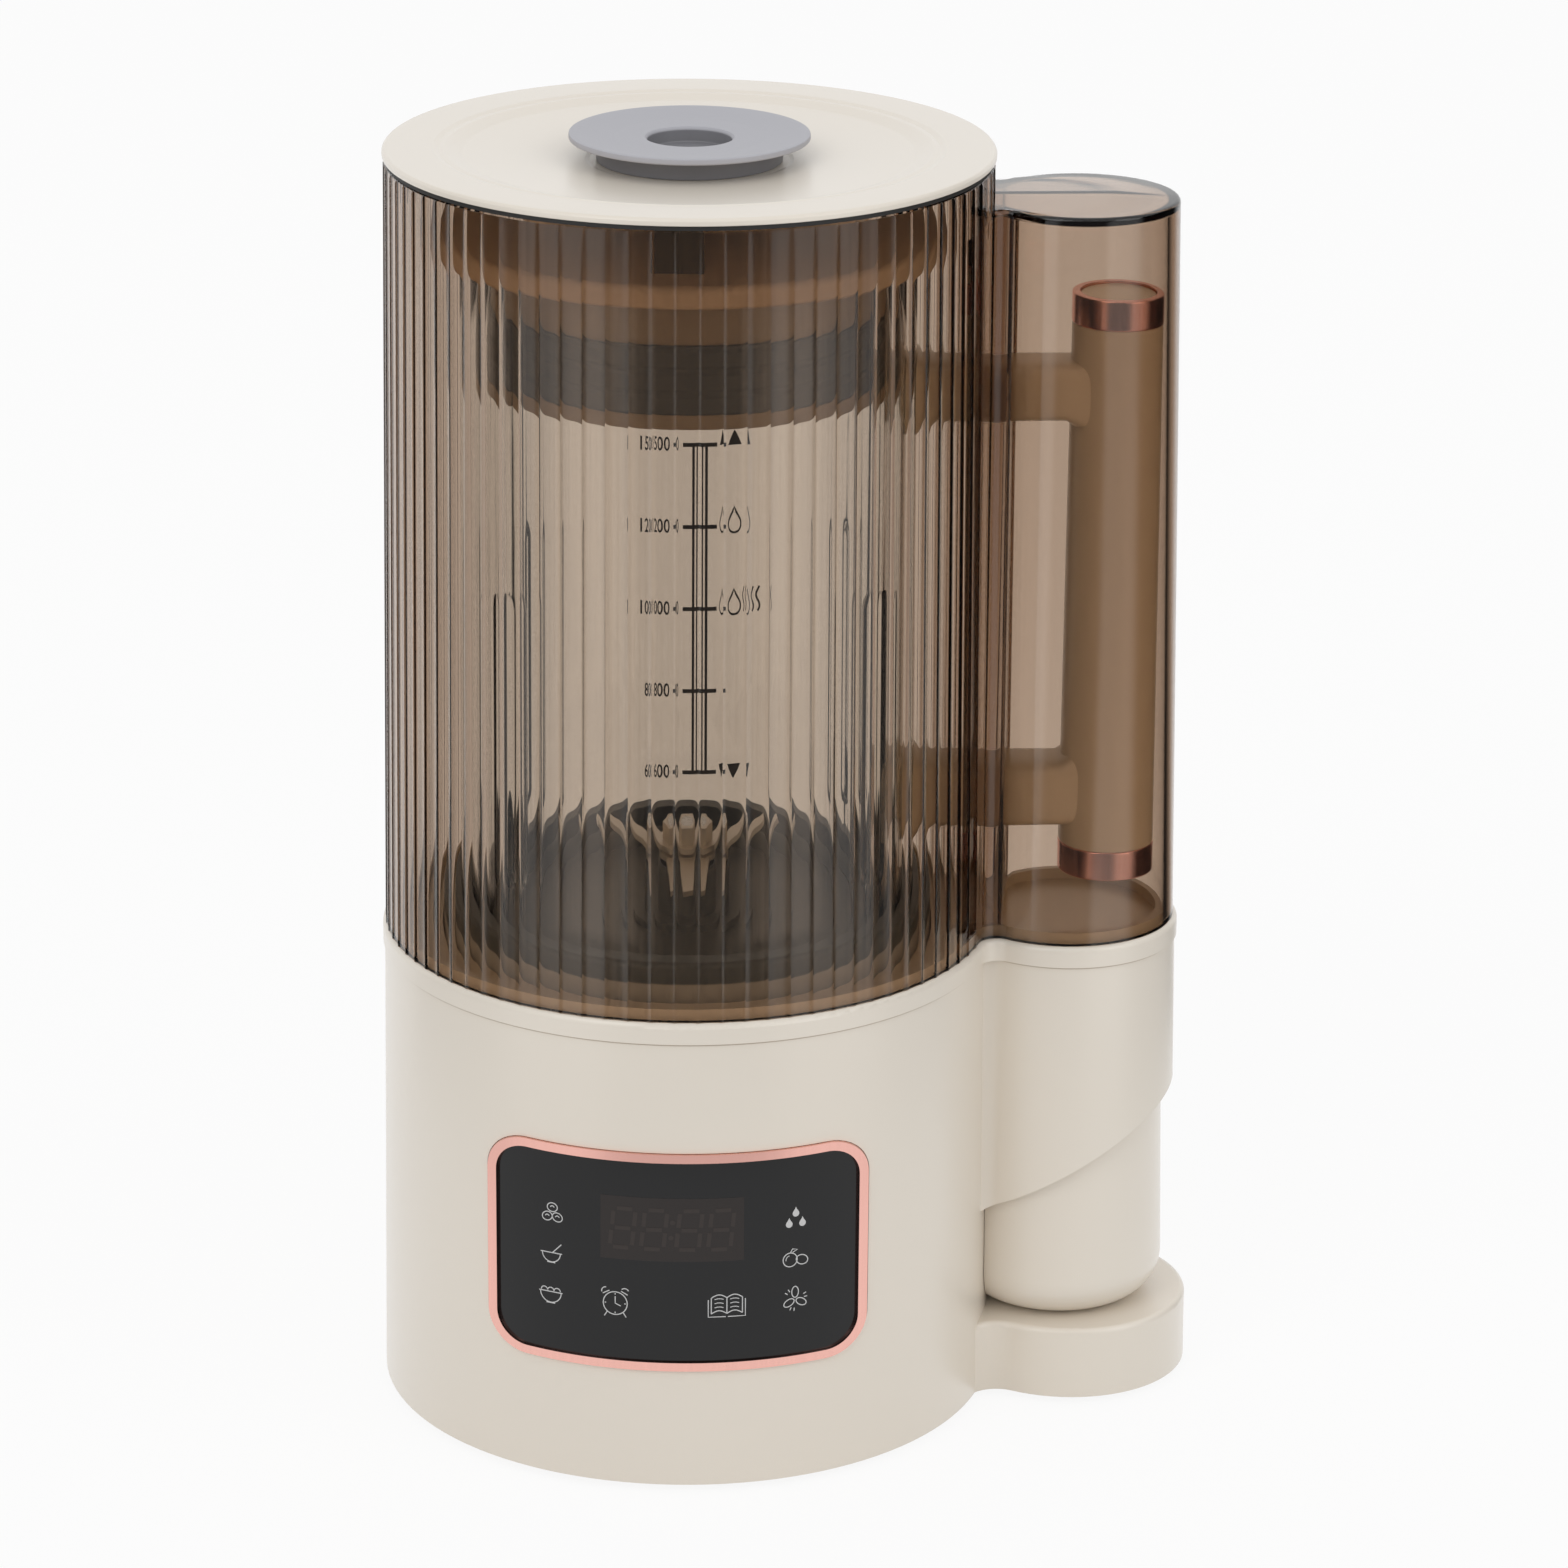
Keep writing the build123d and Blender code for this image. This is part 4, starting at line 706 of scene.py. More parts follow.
class SOYMAKER_OT_top_plate(bpy.types.Operator):
    """Make the cream top plate of the hood"""

    bl_idname = "soymaker.top_plate"
    bl_label = "Top plate"

    def execute(self, context):
        low, top = levels_of("hood_gasket")[1], levels_of("hood_top_plate")[1]
        rim, seat = reach_of("hood_top_plate"), top - 3.8
        plug_seat = [(22, seat, 0.3), (26.5, seat, 0.8), (27.6, top - 3.5, 0.6)]
        dish = [(60, top - 1.6, 5), (64.6, top - 0.35, 3)]
        groove = [(66.2, top - 0.55, 0.8), (67.8, top - 0.1, 1.2)]
        edge = [(rim - 0.6, top, 0.9), (rim, top - 0.8, 0.6)]
        edge += [(rim, low + 0.2, 0.3), (rim - 0.4, low, 0.2)]
        under = [(67, low, 1), (60, low - 1.6, 1)]
        under += [(26.5, seat - 2.1, 0.5), (22, seat - 2.1, 0.2)]
        corners = plug_seat + dish + groove + edge + under
        skin = turned(corners, 6, segments=256)
        add_piece("top_plate", skin, "cream_plastic", "hood", ("hood_top_plate",), sharp=50)
        return {"FINISHED"}


class SOYMAKER_OT_vent_plug(bpy.types.Operator):
    """Make the grey vent plug"""

    bl_idname = "soymaker.vent_plug"
    bl_label = "Vent plug"

    def execute(self, context):
        (foot, top), rim = levels_of("vent_plug"), reach_of("vent_plug")
        spigot = [(0, foot, 0), (20.6, foot, 0.6), (21.6, foot + 1, 0.4), (21.6, foot + 4, 0)]
        body = [(24.7, foot + 4, 0.5), (24.7, top - 2.2, 0.7)]
        edge = [(rim - 1.2, top - 1.9, 0.6), (rim, top - 1.5, 0.5)]
        edge += [(rim - 0.1, top - 0.05, 0.35), (rim - 1.4, top, 0.6)]
        dish = [(20, top - 1.1, 6), (11.9, top - 1.25, 0.5)]
        hole = [(11.2, top - 2, 0.4), (11.2, top - 5.3, 0.5), (0, top - 5.8, 0)]
        corners = spigot + body + edge + dish + hole
        skin = turned(corners, 6, solid=True)
        add_piece("grey_plug", skin, "plug_silicone", "vent_plug", ("vent_plug",), sharp=55)
        return {"FINISHED"}


# Jug

# The flow ribs: their places round the jug, their ends above the glass's foot and half their
# width, in millimetres
RIBS = [radians(turn + side * 55) for turn in (-90, 90) for side in (-1, 1)]
RIB_FOOT, RIB_TOP = GLASS_FOOT + 27, GLASS_FOOT + 100
RIB_HALF = 5.4

# Height of the round lip on the glass
LIP_HEIGHT = 1.7


class SOYMAKER_OT_jug_glass(bpy.types.Operator):
    """Make the jug's glass with its pressed flow ribs"""

    bl_idname = "soymaker.jug_glass"
    bl_label = "Jug glass"

    def execute(self, context):
        sizes = context.scene.soy_maker_sizes
        wall, depth = sizes.glass_wall / MM, sizes.rib_depth / MM
        at_ribs = [rib % tau + radians(a * 0.35) for rib in RIBS for a in range(-18, 19)]
        all_round = [radians(a * 2) for a in range(180)]
        angles = sorted({round(angle, 6) for angle in all_round + at_ribs})
        levels = [GLASS_FOOT, GLASS_FOOT + 10]
        levels += [RIB_FOOT - 5 + 0.6 * i for i in range(17)]
        levels += [between(RIB_FOOT + 5.5, RIB_TOP - 5.5, i / 6) for i in range(7)]
        levels += [RIB_TOP - 5 + 0.6 * i for i in range(17)]
        levels += [GLASS_TOP - 20, GLASS_TOP - LIP_HEIGHT]

        def pressed(angle, level):
            """How far the ribs press the wall in at a place."""
            along = max(0.0, RIB_FOOT - level, level - RIB_TOP)
            deep = 0.0
            for rib in RIBS:
                aside = abs(angle_off(angle - rib)) * GLASS_RADIUS
                off = hypot(aside, along) / RIB_HALF
                if off < 1:
                    deep = max(deep, depth * (1 - off**4) ** 1.5)
            return deep

        def side(radius, share, levels):
            """Rows of one side of the wall, which takes a share of the ribs' depth."""
            return [
                [polar(radius - pressed(angle, level) * share, angle, level) for angle in angles]
                for level in levels
            ]

        lip = []
        for step in range(1, 10):
            turn = pi * step / 10
            radius = GLASS_RADIUS - wall / 2 + wall / 2 * cos(turn)
            level = GLASS_TOP - LIP_HEIGHT + LIP_HEIGHT * sin(turn)
            lip.append([polar(radius, angle, level) for angle in angles])
        outer = side(GLASS_RADIUS, 0.9, levels)
        inner = side(GLASS_RADIUS - wall, 1.15, levels[::-1])
        skin = Skin()
        rows = skin.rows(outer + lip + inner)
        skin.between(rows[-1], rows[0])
        add_piece("glass_wall", skin, "clear_glass", "jug", ("jug_glass",), sharp=40)
        return {"FINISHED"}


# Prints: gap below them and thickness, in millimetres
PRINT_LIFT, PRINT_THICK = 0.06, 0.04

# Figures: gap, height for a size of 1, and how narrow they are
FIGURE_LIFT, FIGURE_HEIGHT, FIGURE_NARROW = 0.1, 0.7, 0.86

SCALE_ANGLE = radians(-89.15)


def on_glass(across, level, lift=PRINT_LIFT):
    """A point on the jug's outside, at a distance along its curve from the scale's middle."""
    return polar(GLASS_RADIUS + lift, SCALE_ANGLE + across / GLASS_RADIUS, level)


def strip(skin, place, path, width, closed=False, thick=PRINT_THICK):
    """A printed line of one width along a path, as a thin closed skin."""
    count = len(path)
    left, right = [], []
    for i, (u, v) in enumerate(path):
        before = path[i - 1] if closed or i > 0 else path[i]
        after = path[(i + 1) % count] if closed or i < count - 1 else path[i]
        way = Vector((after[0] - before[0], after[1] - before[1])).normalized()
        aside = Vector((-way.y, way.x)) * width / 2
        left.append((u + aside.x, v + aside.y))
        right.append((u - aside.x, v - aside.y))
    over, under = PRINT_LIFT + thick, PRINT_LIFT
    sides = ((left, over), (right, over), (right, under), (left, under))
    rows = [skin.row([place(u, v, lift) for u, v in edge]) for edge, lift in sides]
    skin.join(rows + rows[:1], closed)
    if not closed:
        skin.faces += [tuple(row[end] for row in rows) for end in (0, -1)]


def patch(skin, place, outline, thick=PRINT_THICK):
    """A printed filled shape from its outline, as a thin closed skin."""
    outer, inner = (
        skin.row([place(u, v, lift) for u, v in outline])
        for lift in (PRINT_LIFT + thick, PRINT_LIFT)
    )
    skin.between(inner, outer)
    skin.ends(outer, inner)


def number(skin, text, level, height):
    """Plain figures beside the scale, taken from Blender's own font."""
    curve = bpy.data.curves.new("figures", "FONT")
    curve.body = text
    curve.align_x, curve.align_y = "RIGHT", "CENTER"
    curve.resolution_u = 3
    curve.offset = 0.012
    holder = placed("figures", curve)
    depsgraph = bpy.context.evaluated_depsgraph_get()
    mesh = bpy.data.meshes.new_from_object(holder.evaluated_get(depsgraph))
    scale = height / FIGURE_HEIGHT
    row = skin.row(
        on_glass(NUMBER_END + v.co.x * scale * FIGURE_NARROW, level + v.co.y * scale, FIGURE_LIFT)
        for v in mesh.vertices
    )
    skin.faces += [tuple(row[i] for i in face.vertices) for face in mesh.polygons]
    bpy.data.objects.remove(holder)
    bpy.data.curves.remove(curve)
    bpy.data.meshes.remove(mesh)


def circle(u, v, radius, start=0.0, end=360.0, steps=28):
    return arc((u, v), radius, radians(start), radians(end), steps)


def ellipse(u, v, half_width, half_height, tilt, steps=28):
    c, s = cos(radians(tilt)), sin(radians(tilt))
    made = []
    for i in range(steps):
        a = tau * i / steps
        x, y = half_width * cos(a), half_height * sin(a)
        made.append((u + x * c - y * s, v + x * s + y * c))
    return made


def drop(u, v, size):
    """A drop: round below and pointed above."""
    neck, tip = v + size * 1.35, v + size * 2.0
    point = [(u + size * 0.28, neck), (u, tip), (u - size * 0.28, neck)]
    return circle(u, v, size, 150, 390, 20) + point


# Levels of the numbers, of the drops, with steam or without, and of the triangles, with the
# way that they point
SCALE = (("1500", 286.9), ("1200", 264.8), ("1000", 242.5), ("800", 220.0), ("600", 197.5))
DROPS = ((267.2, False), (244.9, True))
TRIANGLES = ((288.4, 1), (197.9, -1))

# Places across the scale
RAIL = 1.15
MARK_START, MARK_STEP = -4.8, 1.2
NUMBER_END = -7.2
SIGN = 8.8


class SOYMAKER_OT_scale(bpy.types.Operator):
    """Print the scale with its plain numbers on the jug"""

    bl_idname = "soymaker.scale"
    bl_label = "Jug scale"

    def execute(self, context):
        sizes = context.scene.soy_maker_sizes
        width = sizes.scale_line / MM
        skin = Skin()

        def draw(path, width, closed=False):
            strip(skin, on_glass, path, width, closed)

        top, low = SCALE[0][1], SCALE[-1][1]
        for side in (-RAIL, RAIL):
            draw([(side, between(low, top, i / 8)) for i in range(9)], width * 0.8)
        for text, level in SCALE:
            draw([(MARK_START + MARK_STEP * i, level) for i in range(9)], width * 0.75)
            number(skin, text, level, sizes.number_height / MM)
        for level, hot in DROPS:
            draw(drop(SIGN, level - 1.8, 2.3), 0.6, closed=True)
            for side in (4.2, 6.4) if hot else ():
                left, foot = SIGN + side, level - 3.6
                wave = [(left + 0.6 * sin(i * 0.9), foot + i * 0.85) for i in range(9)]
                draw(wave, 0.6)
        for level, way in TRIANGLES:
            foot = level - 1.7 * way
            patch(skin, on_glass, [(6.3, foot), (11.3, foot), (SIGN, level + 2.4 * way)])
        ink = moulded("scale_print", chosen("print"), 0.5, grain=0.003)
        add_piece("jug_scale", skin, "dark_plastic", "jug", material=ink, closed=False)
        return {"FINISHED"}


# The handle's arms: name, lowest and highest level, and the way that their fairing sweeps
ARMS = (("lower", 162.2, 180.9, 1), ("upper", 277.2, 293.4, -1))

# Half width of the arms, which the grip's ends share, and their gap to the glass
ARM_HALF, ARM_GAP = 10.3, 0.15

# Length of the grip's ends inside the rings
GRIP_END = 7.7

# How far the arms spread to their pads on the glass, and how fast
PAD_HALF, PAD_TALL, PAD_EASE = 6.4, 2.9, 2.2


class SOYMAKER_OT_handle(bpy.types.Operator):
    """Make the jug's handle with its smooth arms"""

    bl_idname = "soymaker.handle"
    bl_label = "Handle"

    def execute(self, context):
        low, high = ((corner / MM).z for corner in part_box("jug_handle"))
        foot = [(0, low, 0), (ARM_HALF, low, 0.5), (ARM_HALF, low + GRIP_END, 0)]
        grip = [(13.2, low + GRIP_END, 0.4), (12.35, high - GRIP_END, 0.4)]
        head = [(ARM_HALF, high - GRIP_END, 0), (ARM_HALF, high, 0.5), (0, high, 0)]
        skin = turned(foot + grip + head, 4, segments=64, middle=GRIP_OUT, solid=True)
        add_piece("handle_grip", skin, "cream_plastic", "jug", ("jug_handle",))
        for arm in ARMS:
            self.arm(*arm)
        paint("handle_rings")
        return {"FINISHED"}

    def arm(self, name, foot, top, way):
        """One arm, from its pad on the glass to the grip, with a fairing on its inner side."""
        skin = Skin()
        start = GLASS_RADIUS + ARM_GAP
        rows = []
        for i in range(23):
            x = between(start, GRIP_OUT - 2, i / 22)
            near = max(0.0, 1 - (x - GLASS_RADIUS) / 9) ** PAD_EASE
            far = max(0.0, 1 - (GRIP_OUT - 11 - x) / 15)
            half = ARM_HALF + PAD_HALF * near - 0.6 * far
            sweep = 2.5 * share_of(far * 4 - 3) ** 2.2
            low, high = foot - PAD_TALL * near, top + PAD_TALL * near
            if way > 0:
                high += sweep
            else:
                low -= sweep
            middle, tall = (low + high) / 2, (high - low) / 2
            ring = []
            for k in range(40):
                c, s = (squared(turn(tau * k / 40)) for turn in (cos, sin))
                ring.append((x, half * c, middle + tall * s))
            rows.append(ring)
        rows[0] = [(sqrt(start**2 - y**2), y, z) for _, y, z in rows[0]]
        made = skin.rows(rows)
        skin.ends(made[0], made[-1])
        add_piece(f"handle_arm_{name}", skin, "cream_plastic", "jug", sharp=45)


def squared(value):
    """A sine or cosine that turns a circle into a rounded square."""
    return copysign(abs(value) ** 0.5, value)


# The lid seal: its inner radius, its root's and its fins' outer radius, its height and fins
SEAL_RADII = (54.4, 55.7, 56.2)
SEAL_HEIGHT = 18.2
SEAL_FINS = 3


class SOYMAKER_OT_jug_parts(bpy.types.Operator):
    """Finish the jug's lid, collar, floor and blades"""

    bl_idname = "soymaker.jug_parts"
    bl_label = "Jug parts"

    def execute(self, context):
        self.seal()
        paint_bodies("jug", "blade_rotor", "jug_lid")
        coat = moulded("floor_coat", (0.2, 0.21, 0.215), 0.5, grain=0.02)
        bright = metal("blade_steel", (0.9, 0.84, 0.76), 0.38, metallic=0.55)
        # The lid's darker, browner cream is painted shade from the hood over it
        lid = moulded("lid_plastic", chosen("lid_cream"), 0.5, specular_ior_level=0.15)
        paint("heating_plate", "blade_bearing_housing", "bearing_nut", material=coat)
        paint("blade_upper", "blade_lower", "blade_nut", material=bright)
        paint("jug_lid_cap", "jug_lid_plug", material=lid)
        paint("jug_collar", material=collar_plastic())
        return {"FINISHED"}

    def seal(self):
        inner, root, fin = SEAL_RADII
        foot = levels_of("jug_lid_seal")[0]
        pitch = SEAL_HEIGHT / SEAL_FINS
        corners = [(inner, foot, 0)]
        for step in range(SEAL_FINS):
            low = foot + step * pitch
            corners += [(root, low, 0.2), (fin, low + 0.8, 0.6)]
            corners += [(fin, low + pitch - 1.6, 0.6), (root, low + pitch - 0.8, 0.3)]
        corners += [(root, foot + SEAL_HEIGHT, 0.2), (inner, foot + SEAL_HEIGHT, 0)]
        grey = moulded("lid_seal_grey", (0.15, 0.15, 0.155), 0.5, grain=0.02)
        skin = turned(corners, 4)
        add_piece("lid_seal", skin, "plug_silicone", "jug_lid", ("jug_lid_seal",), grey)


# Base and panel

# The housing's foot and height and its radii there, which the lens follows, and the radius
# for distances along the panel
HOUSING_FOOT, HOUSING_HEIGHT = 2, 127.5
HOUSING_RADII = (85, 83.5)
PANEL_RADIUS = 84.3

# The digits' window: its left and right edges in degrees, its low and high edges in
# millimetres, all from the panel's middle, and its gap
WINDOW_SIDES = (-13.85, 12.45)
WINDOW_LEVELS = (0.3, 18.5)
WINDOW_LIFT = 0.03

# The digits: half height, half width, slant, line width, thickness and places
TALL, WIDE, SLANT = 5.6, 3.0, 0.1
DIGIT_LINE, DIGIT_THICK = 1.15, 0.02
DIGITS = (-13.2, -4.7, 4.7, 13.2)

# Widths of the signs' lines
SIGN_LINE, FINE_LINE = 0.27, 0.22


def on_panel(across, up, lift=PRINT_LIFT):
    """A point on the panel's lens, at a distance along its curve from the panel's middle."""
    level = LENS_MIDDLE + up
    radius = between(*HOUSING_RADII, (level - HOUSING_FOOT) / HOUSING_HEIGHT) + lift
    return polar(radius, -pi / 2 + PANEL_TURN + across / PANEL_RADIUS, level)


def at(angle):
    """Distance along the panel for an angle from its middle, in degrees."""
    return radians(angle) * PANEL_RADIUS


def line(*points, width=SIGN_LINE):
    """An open stroke of a sign. A stroke is a path round the sign's middle, whether it is
    closed, and its width, or None where it is filled."""
    return points, False, width


def loop(points):
    return points, True, SIGN_LINE


def bowl(rim, deep, foot, low, steps):
    yield line((-rim, 0.6), (rim, 0.6))
    yield line(*circle(0, 0.6, deep, 180, 360, steps))
    yield line((-foot, -low), (foot, -low))


def beans():
    for x, y, tilt in ((-1.5, -1.1, 20), (1.5, -1.1, -20), (0, 1.6, 0)):
        yield loop(ellipse(x, y, 1.5, 1.25, tilt))
        yield line(*circle(x, y - 0.2, 0.6, 20, 160, 8))


def bowl_and_stick():
    yield from bowl(3.2, 2.7, 1.2, 2.2, 20)
    yield line((0.3, 0.6), (3.0, 3.4))


def bowl_of_grains():
    yield from bowl(3.5, 3.1, 1.3, 2.6, 22)
    for x in (-1.9, 0, 1.9):
        yield line(*circle(x, 0.9, 0.95, 0, 180, 10))


def clock():
    yield loop(circle(0, 0, 3.3)[:-1])
    yield line((0, 2.0), (0, 0), (1.5, -0.7))
    for side in (-1, 1):
        start = 55 - 30 * side
        yield line((side * 2.2, -2.6), (side * 3.0, -3.9))
        yield line(*circle(side * 2.6, 3.3, 1.15, start, start + 110, 8))
        yield line((side * 1.6, 3.6), (side * 3.4, 2.6))
    for turn in range(4):
        yield line(*(polar(r, tau * turn / 4, 0)[:2] for r in (2.5, 2.9)))


def book():
    for side in (-1, 1):
        page = [(side * 4.2 * i / 8, 2.1 + 0.9 * sin(pi * i / 8)) for i in range(9)]
        foot = [(x, y - 4.6) for x, y in page]
        yield line(*page)
        yield line(*foot)
        yield line(page[-1], foot[-1])
        yield line((side * 5.0, 1.6), (side * 5.0, -3.4), (side * 0.3, -3.4))
        for row in range(3):
            top = 1.3 - row * 1.2
            text = [(side * (0.9 + 0.8 * i), top + 0.6 * sin(pi * (i + 1) / 5)) for i in range(4)]
            yield line(*text, width=FINE_LINE)
    yield line((0, 2.1), (0, -2.5))


def three_drops():
    for x, y in ((-1.9, -1.4), (1.9, -1.4), (0, 1.6)):
        yield drop(x, y, 0.95), True, None


def fruit():
    yield loop(circle(-1.3, -0.2, 2.0)[:-1])
    yield loop(ellipse(2.1, -0.5, 1.7, 1.35, -20))
    yield line((-1.3, 1.8), (-0.6, 2.9), (0.8, 2.6), (-0.6, 1.9))
    yield line(*circle(-1.3, -0.2, 1.2, 100, 190, 8), width=FINE_LINE)


def fan():
    for a in (90, 210, 330):
        yield loop(ellipse(*polar(2.0, radians(a), 0)[:2], 1.6, 0.95, a))
        for off in (35, 55):
            yield line(*(polar(r, radians(a + off), 0)[:2] for r in (2.6, 3.5)))


# Place in degrees from the panel's middle and in millimetres up
SIGNS = (
    (-23.25, 11.0, beans),
    (-23.45, -1.2, bowl_and_stick),
    (-23.55, -12.6, bowl_of_grains),
    (-11.05, -12.6, clock),
    (9.35, -12.4, book),
    (22.25, 10.6, three_drops),
    (22.05, -0.9, fruit),
    (22.15, -12.6, fan),
)


def print_on_panel(name, skin, base, roughness, **more):
    ink = moulded(name, base, roughness, grain=0.001, **more)
    add_piece(name, skin, "panel_black", "base", material=ink, closed=False)


class SOYMAKER_OT_panel(bpy.types.Operator):
    """Print the panel's signs and the digits' window"""

    bl_idname = "soymaker.panel"
    bl_label = "Panel"

    def execute(self, context):
        self.signs()
        self.window()
        paint("panel_lens", "panel_bezel")
        return {"FINISHED"}

    def window(self):
        left, right = (at(side) for side in WINDOW_SIDES)
        low, high = WINDOW_LEVELS
        skin = Skin()
        across = [between(left, right, i / 16) for i in range(17)]
        edges = [skin.row([on_panel(x, y, WINDOW_LIFT) for x in across]) for y in (low, high)]
        skin.join(edges, closed=False)
        print_on_panel("display_window", skin, (0.018, 0.013, 0.0115), 0.12, ior=LENS_IOR)

        skin = Skin()
        middle, level = (left + right) / 2, (low + high) / 2

        def seg(place, a, b):
            points = []
            for i in range(4):
                x, y = between(a[0], b[0], i / 3), between(a[1], b[1], i / 3)
                points.append((middle + place + x + y * SLANT, level + y))
            strip(skin, on_panel, points, DIGIT_LINE, thick=DIGIT_THICK)

        for place in DIGITS:
            for y in (-TALL, 0, TALL):
                seg(place, (-WIDE + 0.9, y), (WIDE - 0.9, y))
            for x in (-WIDE, WIDE):
                seg(place, (x, 0.8), (x, TALL - 0.8))
                seg(place, (x, -TALL + 0.8), (x, -0.8))
        for y in (-2.2, 2.2):
            dot = circle(middle + y * SLANT, level + y, 0.7)[:-1]
            patch(skin, on_panel, dot, thick=DIGIT_THICK)
        print_on_panel("display_digits", skin, (0.03, 0.022, 0.019), 0.15, ior=LENS_IOR)

    def signs(self):
        skin = Skin()
        for angle, level, sign in SIGNS:
            for path, closed, width in sign():
                path = [(x + at(angle), y + level) for x, y in path]
                if width is None:
                    patch(skin, on_panel, path)
                else:
                    strip(skin, on_panel, path, width, closed)
        print_on_panel("panel_signs", skin, chosen("icons"), 0.4)


class SOYMAKER_OT_base(bpy.types.Operator):
    """Finish the base's housing, deck and feet"""

    bl_idname = "soymaker.base"
    bl_label = "Base"

    def execute(self, context):
        paint_bodies("base", "motor_rotor")
        paint("base_housing", material=housing_plastic())
        return {"FINISHED"}


# Stage

# The white backdrop stands behind the object, dark cards at its sides, and soft boxes in front
# at the left and right of a dim middle. Each edge is where a direction of length 1 turns from
# one to the other, by its part towards the back, the front or a side.
BACKDROP_EDGE = (0.42, 0.67)
BACKDROP_SHIFT = 0.18
FRONT_EDGE = (0.25, 0.5)
BOX_EDGE = (0.4, 0.55)
DARK_SIDE = 0.03
DIM_FRONT = 0.14

# The white above starts at this part of a direction upwards, and the white floor ends at this
# distance in metres
SKY_EDGE = (0.45, 0.7)
FLOOR_EDGE = (0.3, 0.45)

# Light that has come in through the smoky walls has lost more of its blue and green
WARMED = (1.0, 0.84, 0.63)
INSIDE_LIGHT = 1.25

# Soft light from all round, the floor's tone and the share of plain white that it shows
SOFT_LIGHT = 0.8
FLOOR_TONE = 0.8
FLOOR_WHITE = 0.9

# The floor's rings in metres and its level in millimetres
FLOOR_RINGS = (0.001, 0.5, 1.2, 3, 8, 20)
FLOOR_LEVEL = -0.2

# The camera: its turns in degrees from looking straight down, place in millimetres, and focal
# length and frame in pixels
CAMERA_TURNS = ((-2.95, "Z"), (90 - 19.422, "X"), (0.475, "Z"))
CAMERA_PLACE = (-50.93, -1499.35, 701.87)
FOCAL_PIXELS, FRAME_PIXELS = 5801.9, 1568
SENSOR = 36

# Place and size in metres and power in watts
LAMPS = (("key", (-1.1, -1.5, 1.7), 1.4, 9), ("fill", (1.5, -1.0, 1.3), 1.2, 5))
LAMP_TARGET = (0, 0, 0.17)


def studio_light(shading, across, back, more_open):
    """What the camera and mirrors see of the studio, by direction."""
    camera, mirrored = shading.ray("Is Camera Ray"), shading.mirrored()
    behind = shading.ramp(back - across * BACKDROP_SHIFT, *BACKDROP_EDGE)
    front = shading.ramp(0 - back, *FRONT_EDGE)
    boxes = shading.ramp(shading.maths("ABSOLUTE", across, 0), *BOX_EDGE)
    front = front * (DIM_FRONT + boxes * (1 - DIM_FRONT))
    bright = shading.more(shading.more(behind, front), more_open)
    bright = shading.more(DARK_SIDE + bright * (1 - DARK_SIDE), shading.inside() * INSIDE_LIGHT)
    tint = shading.blend(mirrored * shading.inside(), (1, 1, 1), WARMED)
    return camera, mirrored, {"Color": tint, "Strength": camera + mirrored * bright}


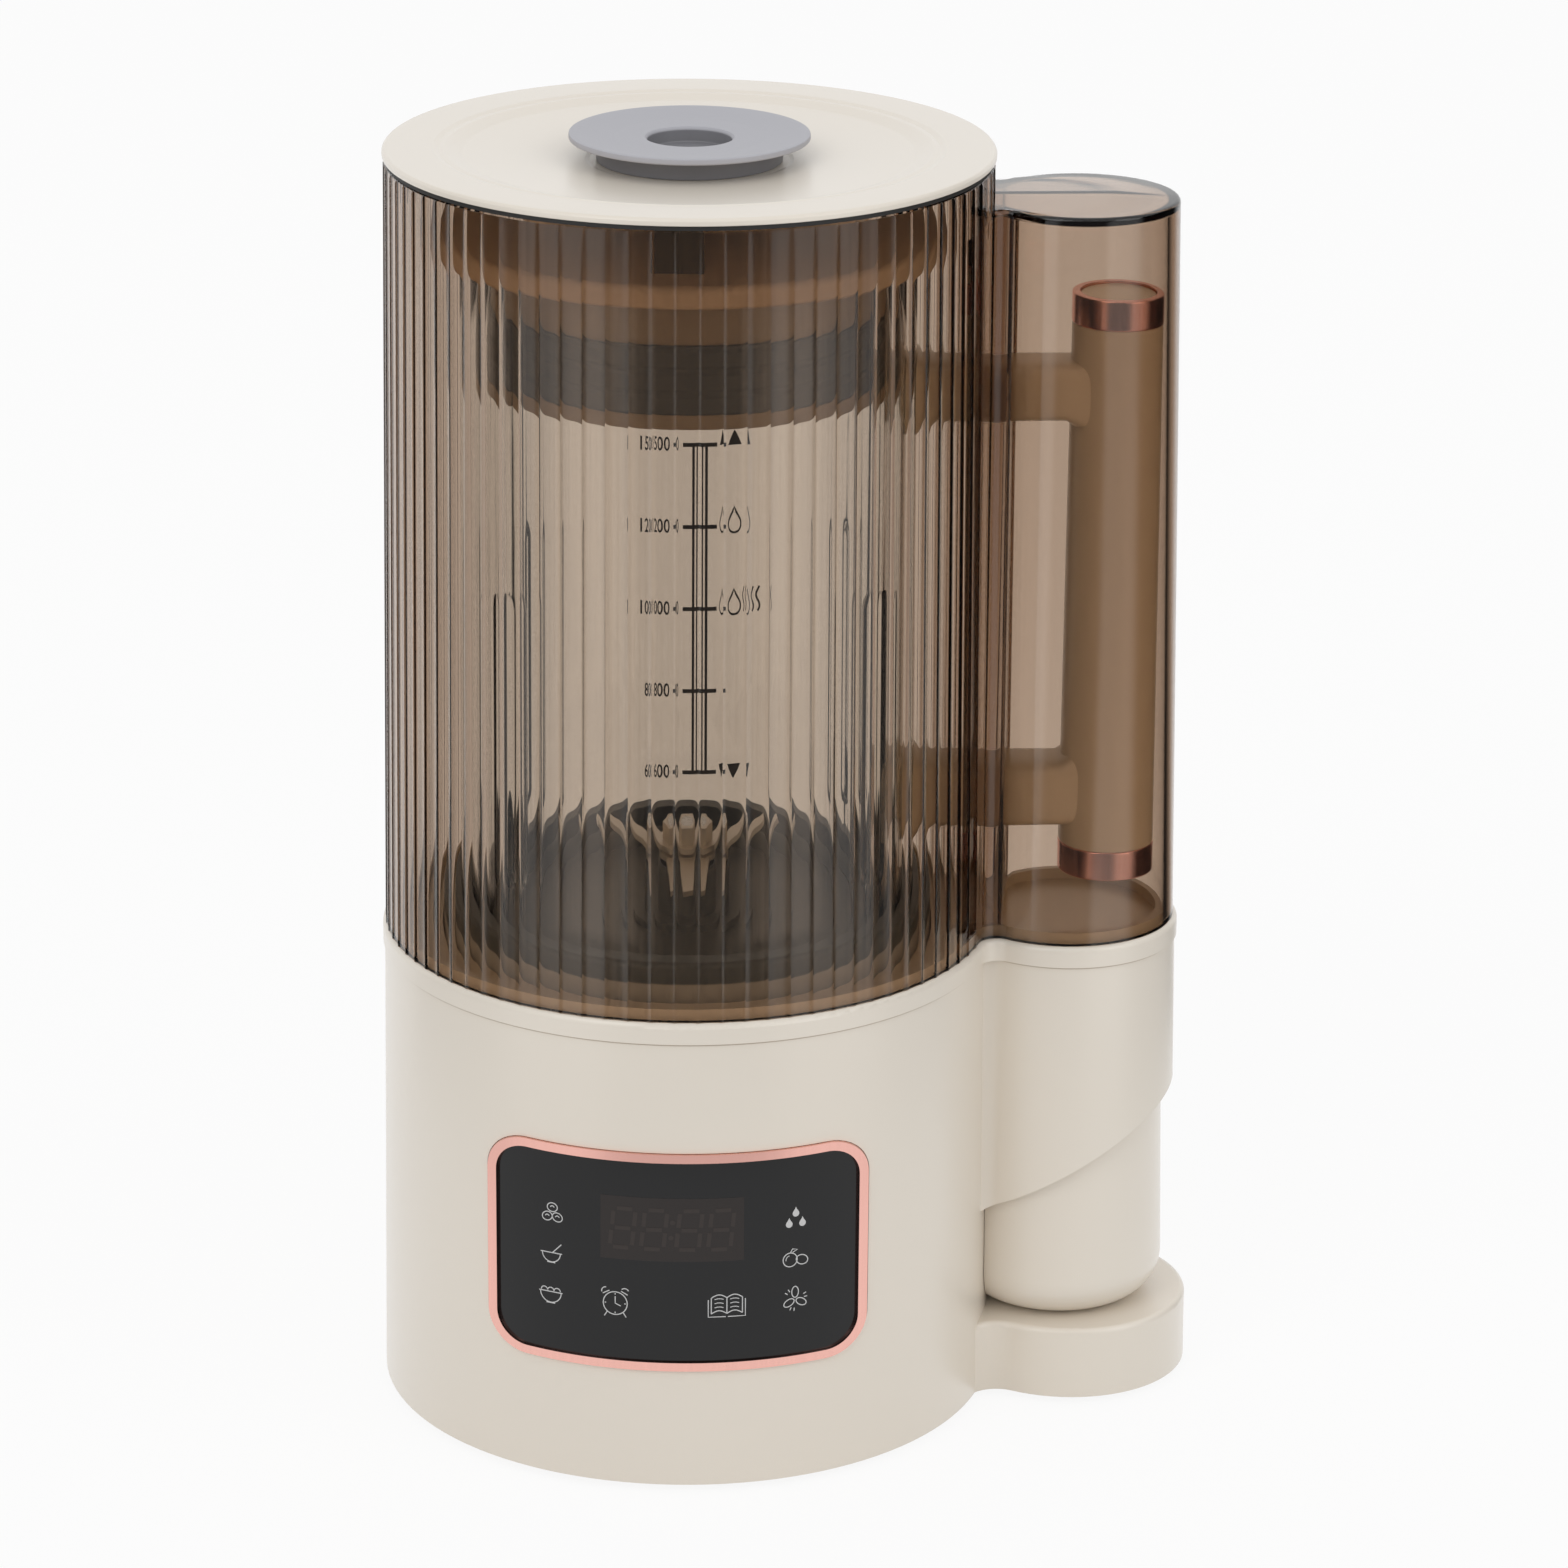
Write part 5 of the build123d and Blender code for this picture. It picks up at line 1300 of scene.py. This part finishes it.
class SOYMAKER_OT_stage(bpy.types.Operator):
    """Set the floor, the soft light and the camera"""

    bl_idname = "soymaker.stage"
    bl_label = "Stage"

    def execute(self, context):
        self.camera()
        self.floor()
        self.world()
        self.lamps()
        context.scene.view_settings.view_transform = "Standard"
        return {"FINISHED"}

    def camera(self):
        yaw, tilt, roll = (Matrix.Rotation(radians(a), 4, axis) for a, axis in CAMERA_TURNS)
        data = bpy.data.cameras.new("camera")
        data.sensor_width = SENSOR
        data.lens = SENSOR * FOCAL_PIXELS / FRAME_PIXELS
        data.clip_start, data.clip_end = 0.05, 50
        camera = placed("camera", data)
        camera.matrix_world = Matrix.Translation(Vector(CAMERA_PLACE) * MM) @ yaw @ tilt @ roll
        bpy.context.scene.camera = camera

    def floor(self):
        skin = Skin()
        skin.rows(
            [polar(radius / MM, tau * k / 96, FLOOR_LEVEL) for k in range(96)]
            for radius in FLOOR_RINGS
        )
        mesh = skin.mesh("floor")
        mesh.validate()
        floor = placed("floor", mesh)

        def make(shading):
            x, y, _ = shading.parts(shading.node("ShaderNodeNewGeometry", output="Position"))
            reach = shading.maths("SQRT", x * x + y * y, 0)
            near = 1 - shading.ramp(reach, *FLOOR_EDGE)
            camera, mirrored, light = studio_light(shading, x / reach, y / reach, near)
            tone = (FLOOR_TONE, FLOOR_TONE, FLOOR_TONE, 1)
            lit = shading.node("ShaderNodeBsdfDiffuse", {}, {"Color": tone})
            white = shading.node("ShaderNodeEmission", {}, light)
            share = camera * FLOOR_WHITE + mirrored
            return shading.node("ShaderNodeMixShader", {}, {0: share, 1: lit, 2: white})

        mesh.materials.append(shaded("floor_white", make))

    def world(self):
        world = bpy.data.worlds.new("studio")
        bpy.context.scene.world = world
        shading = Shading(world)
        x, y, z = shading.parts(shading.node("ShaderNodeTexCoord", output="Generated"))
        camera, mirrored, light = studio_light(shading, x, y, shading.ramp(z, *SKY_EDGE))
        light["Strength"] += (1 - camera) * (1 - mirrored) * SOFT_LIGHT
        background = shading.node("ShaderNodeBackground", {}, light)
        shading.node("ShaderNodeOutputWorld", {}, {"Surface": background}, output=None)

    def lamps(self):
        for name, place, size, power in LAMPS:
            data = bpy.data.lights.new(name, "AREA")
            data.shape = "DISK"
            data.size = size
            data.energy = power
            lamp = placed(name, data)
            lamp.location = place
            lamp.rotation_mode = "QUATERNION"
            aim = Vector(LAMP_TARGET) - Vector(place)
            lamp.rotation_quaternion = aim.to_track_quat("-Z", "Y")


OPERATORS = (
    SOYMAKER_OT_stage,
    SOYMAKER_OT_base,
    SOYMAKER_OT_panel,
    SOYMAKER_OT_handle,
    SOYMAKER_OT_jug_glass,
    SOYMAKER_OT_scale,
    SOYMAKER_OT_jug_parts,
    SOYMAKER_OT_hood,
    SOYMAKER_OT_top_plate,
    SOYMAKER_OT_vent_plug,
)


class SOYMAKER_PT_panel(bpy.types.Panel):
    """Sizes, colours and makers of the soy milk maker"""

    bl_idname = "SOYMAKER_PT_panel"
    bl_label = "Soy Milk Maker"
    bl_space_type = "VIEW_3D"
    bl_region_type = "UI"
    bl_category = "Soy Milk Maker"

    def draw(self, context):
        for settings in (context.scene.soy_maker_sizes, context.scene.soy_maker_colours):
            box = self.layout.box()
            for key in settings.__annotations__:
                box.prop(settings, key)
        for operator in OPERATORS:
            self.layout.operator(operator.bl_idname)


CLASSES = (SoyMakerSizes, SoyMakerColours, *OPERATORS, SOYMAKER_PT_panel)


def register():
    for one in CLASSES:
        bpy.utils.register_class(one)
    bpy.types.Scene.soy_maker_sizes = PointerProperty(type=SoyMakerSizes)
    bpy.types.Scene.soy_maker_colours = PointerProperty(type=SoyMakerColours)


def unregister():
    del bpy.types.Scene.soy_maker_colours
    del bpy.types.Scene.soy_maker_sizes
    for one in reversed(CLASSES):
        bpy.utils.unregister_class(one)


def main():
    register()
    for operator in OPERATORS:
        family, action = operator.bl_idname.split(".")
        getattr(getattr(bpy.ops, family), action)()
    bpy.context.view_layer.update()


if __name__ == "__main__":
    main()
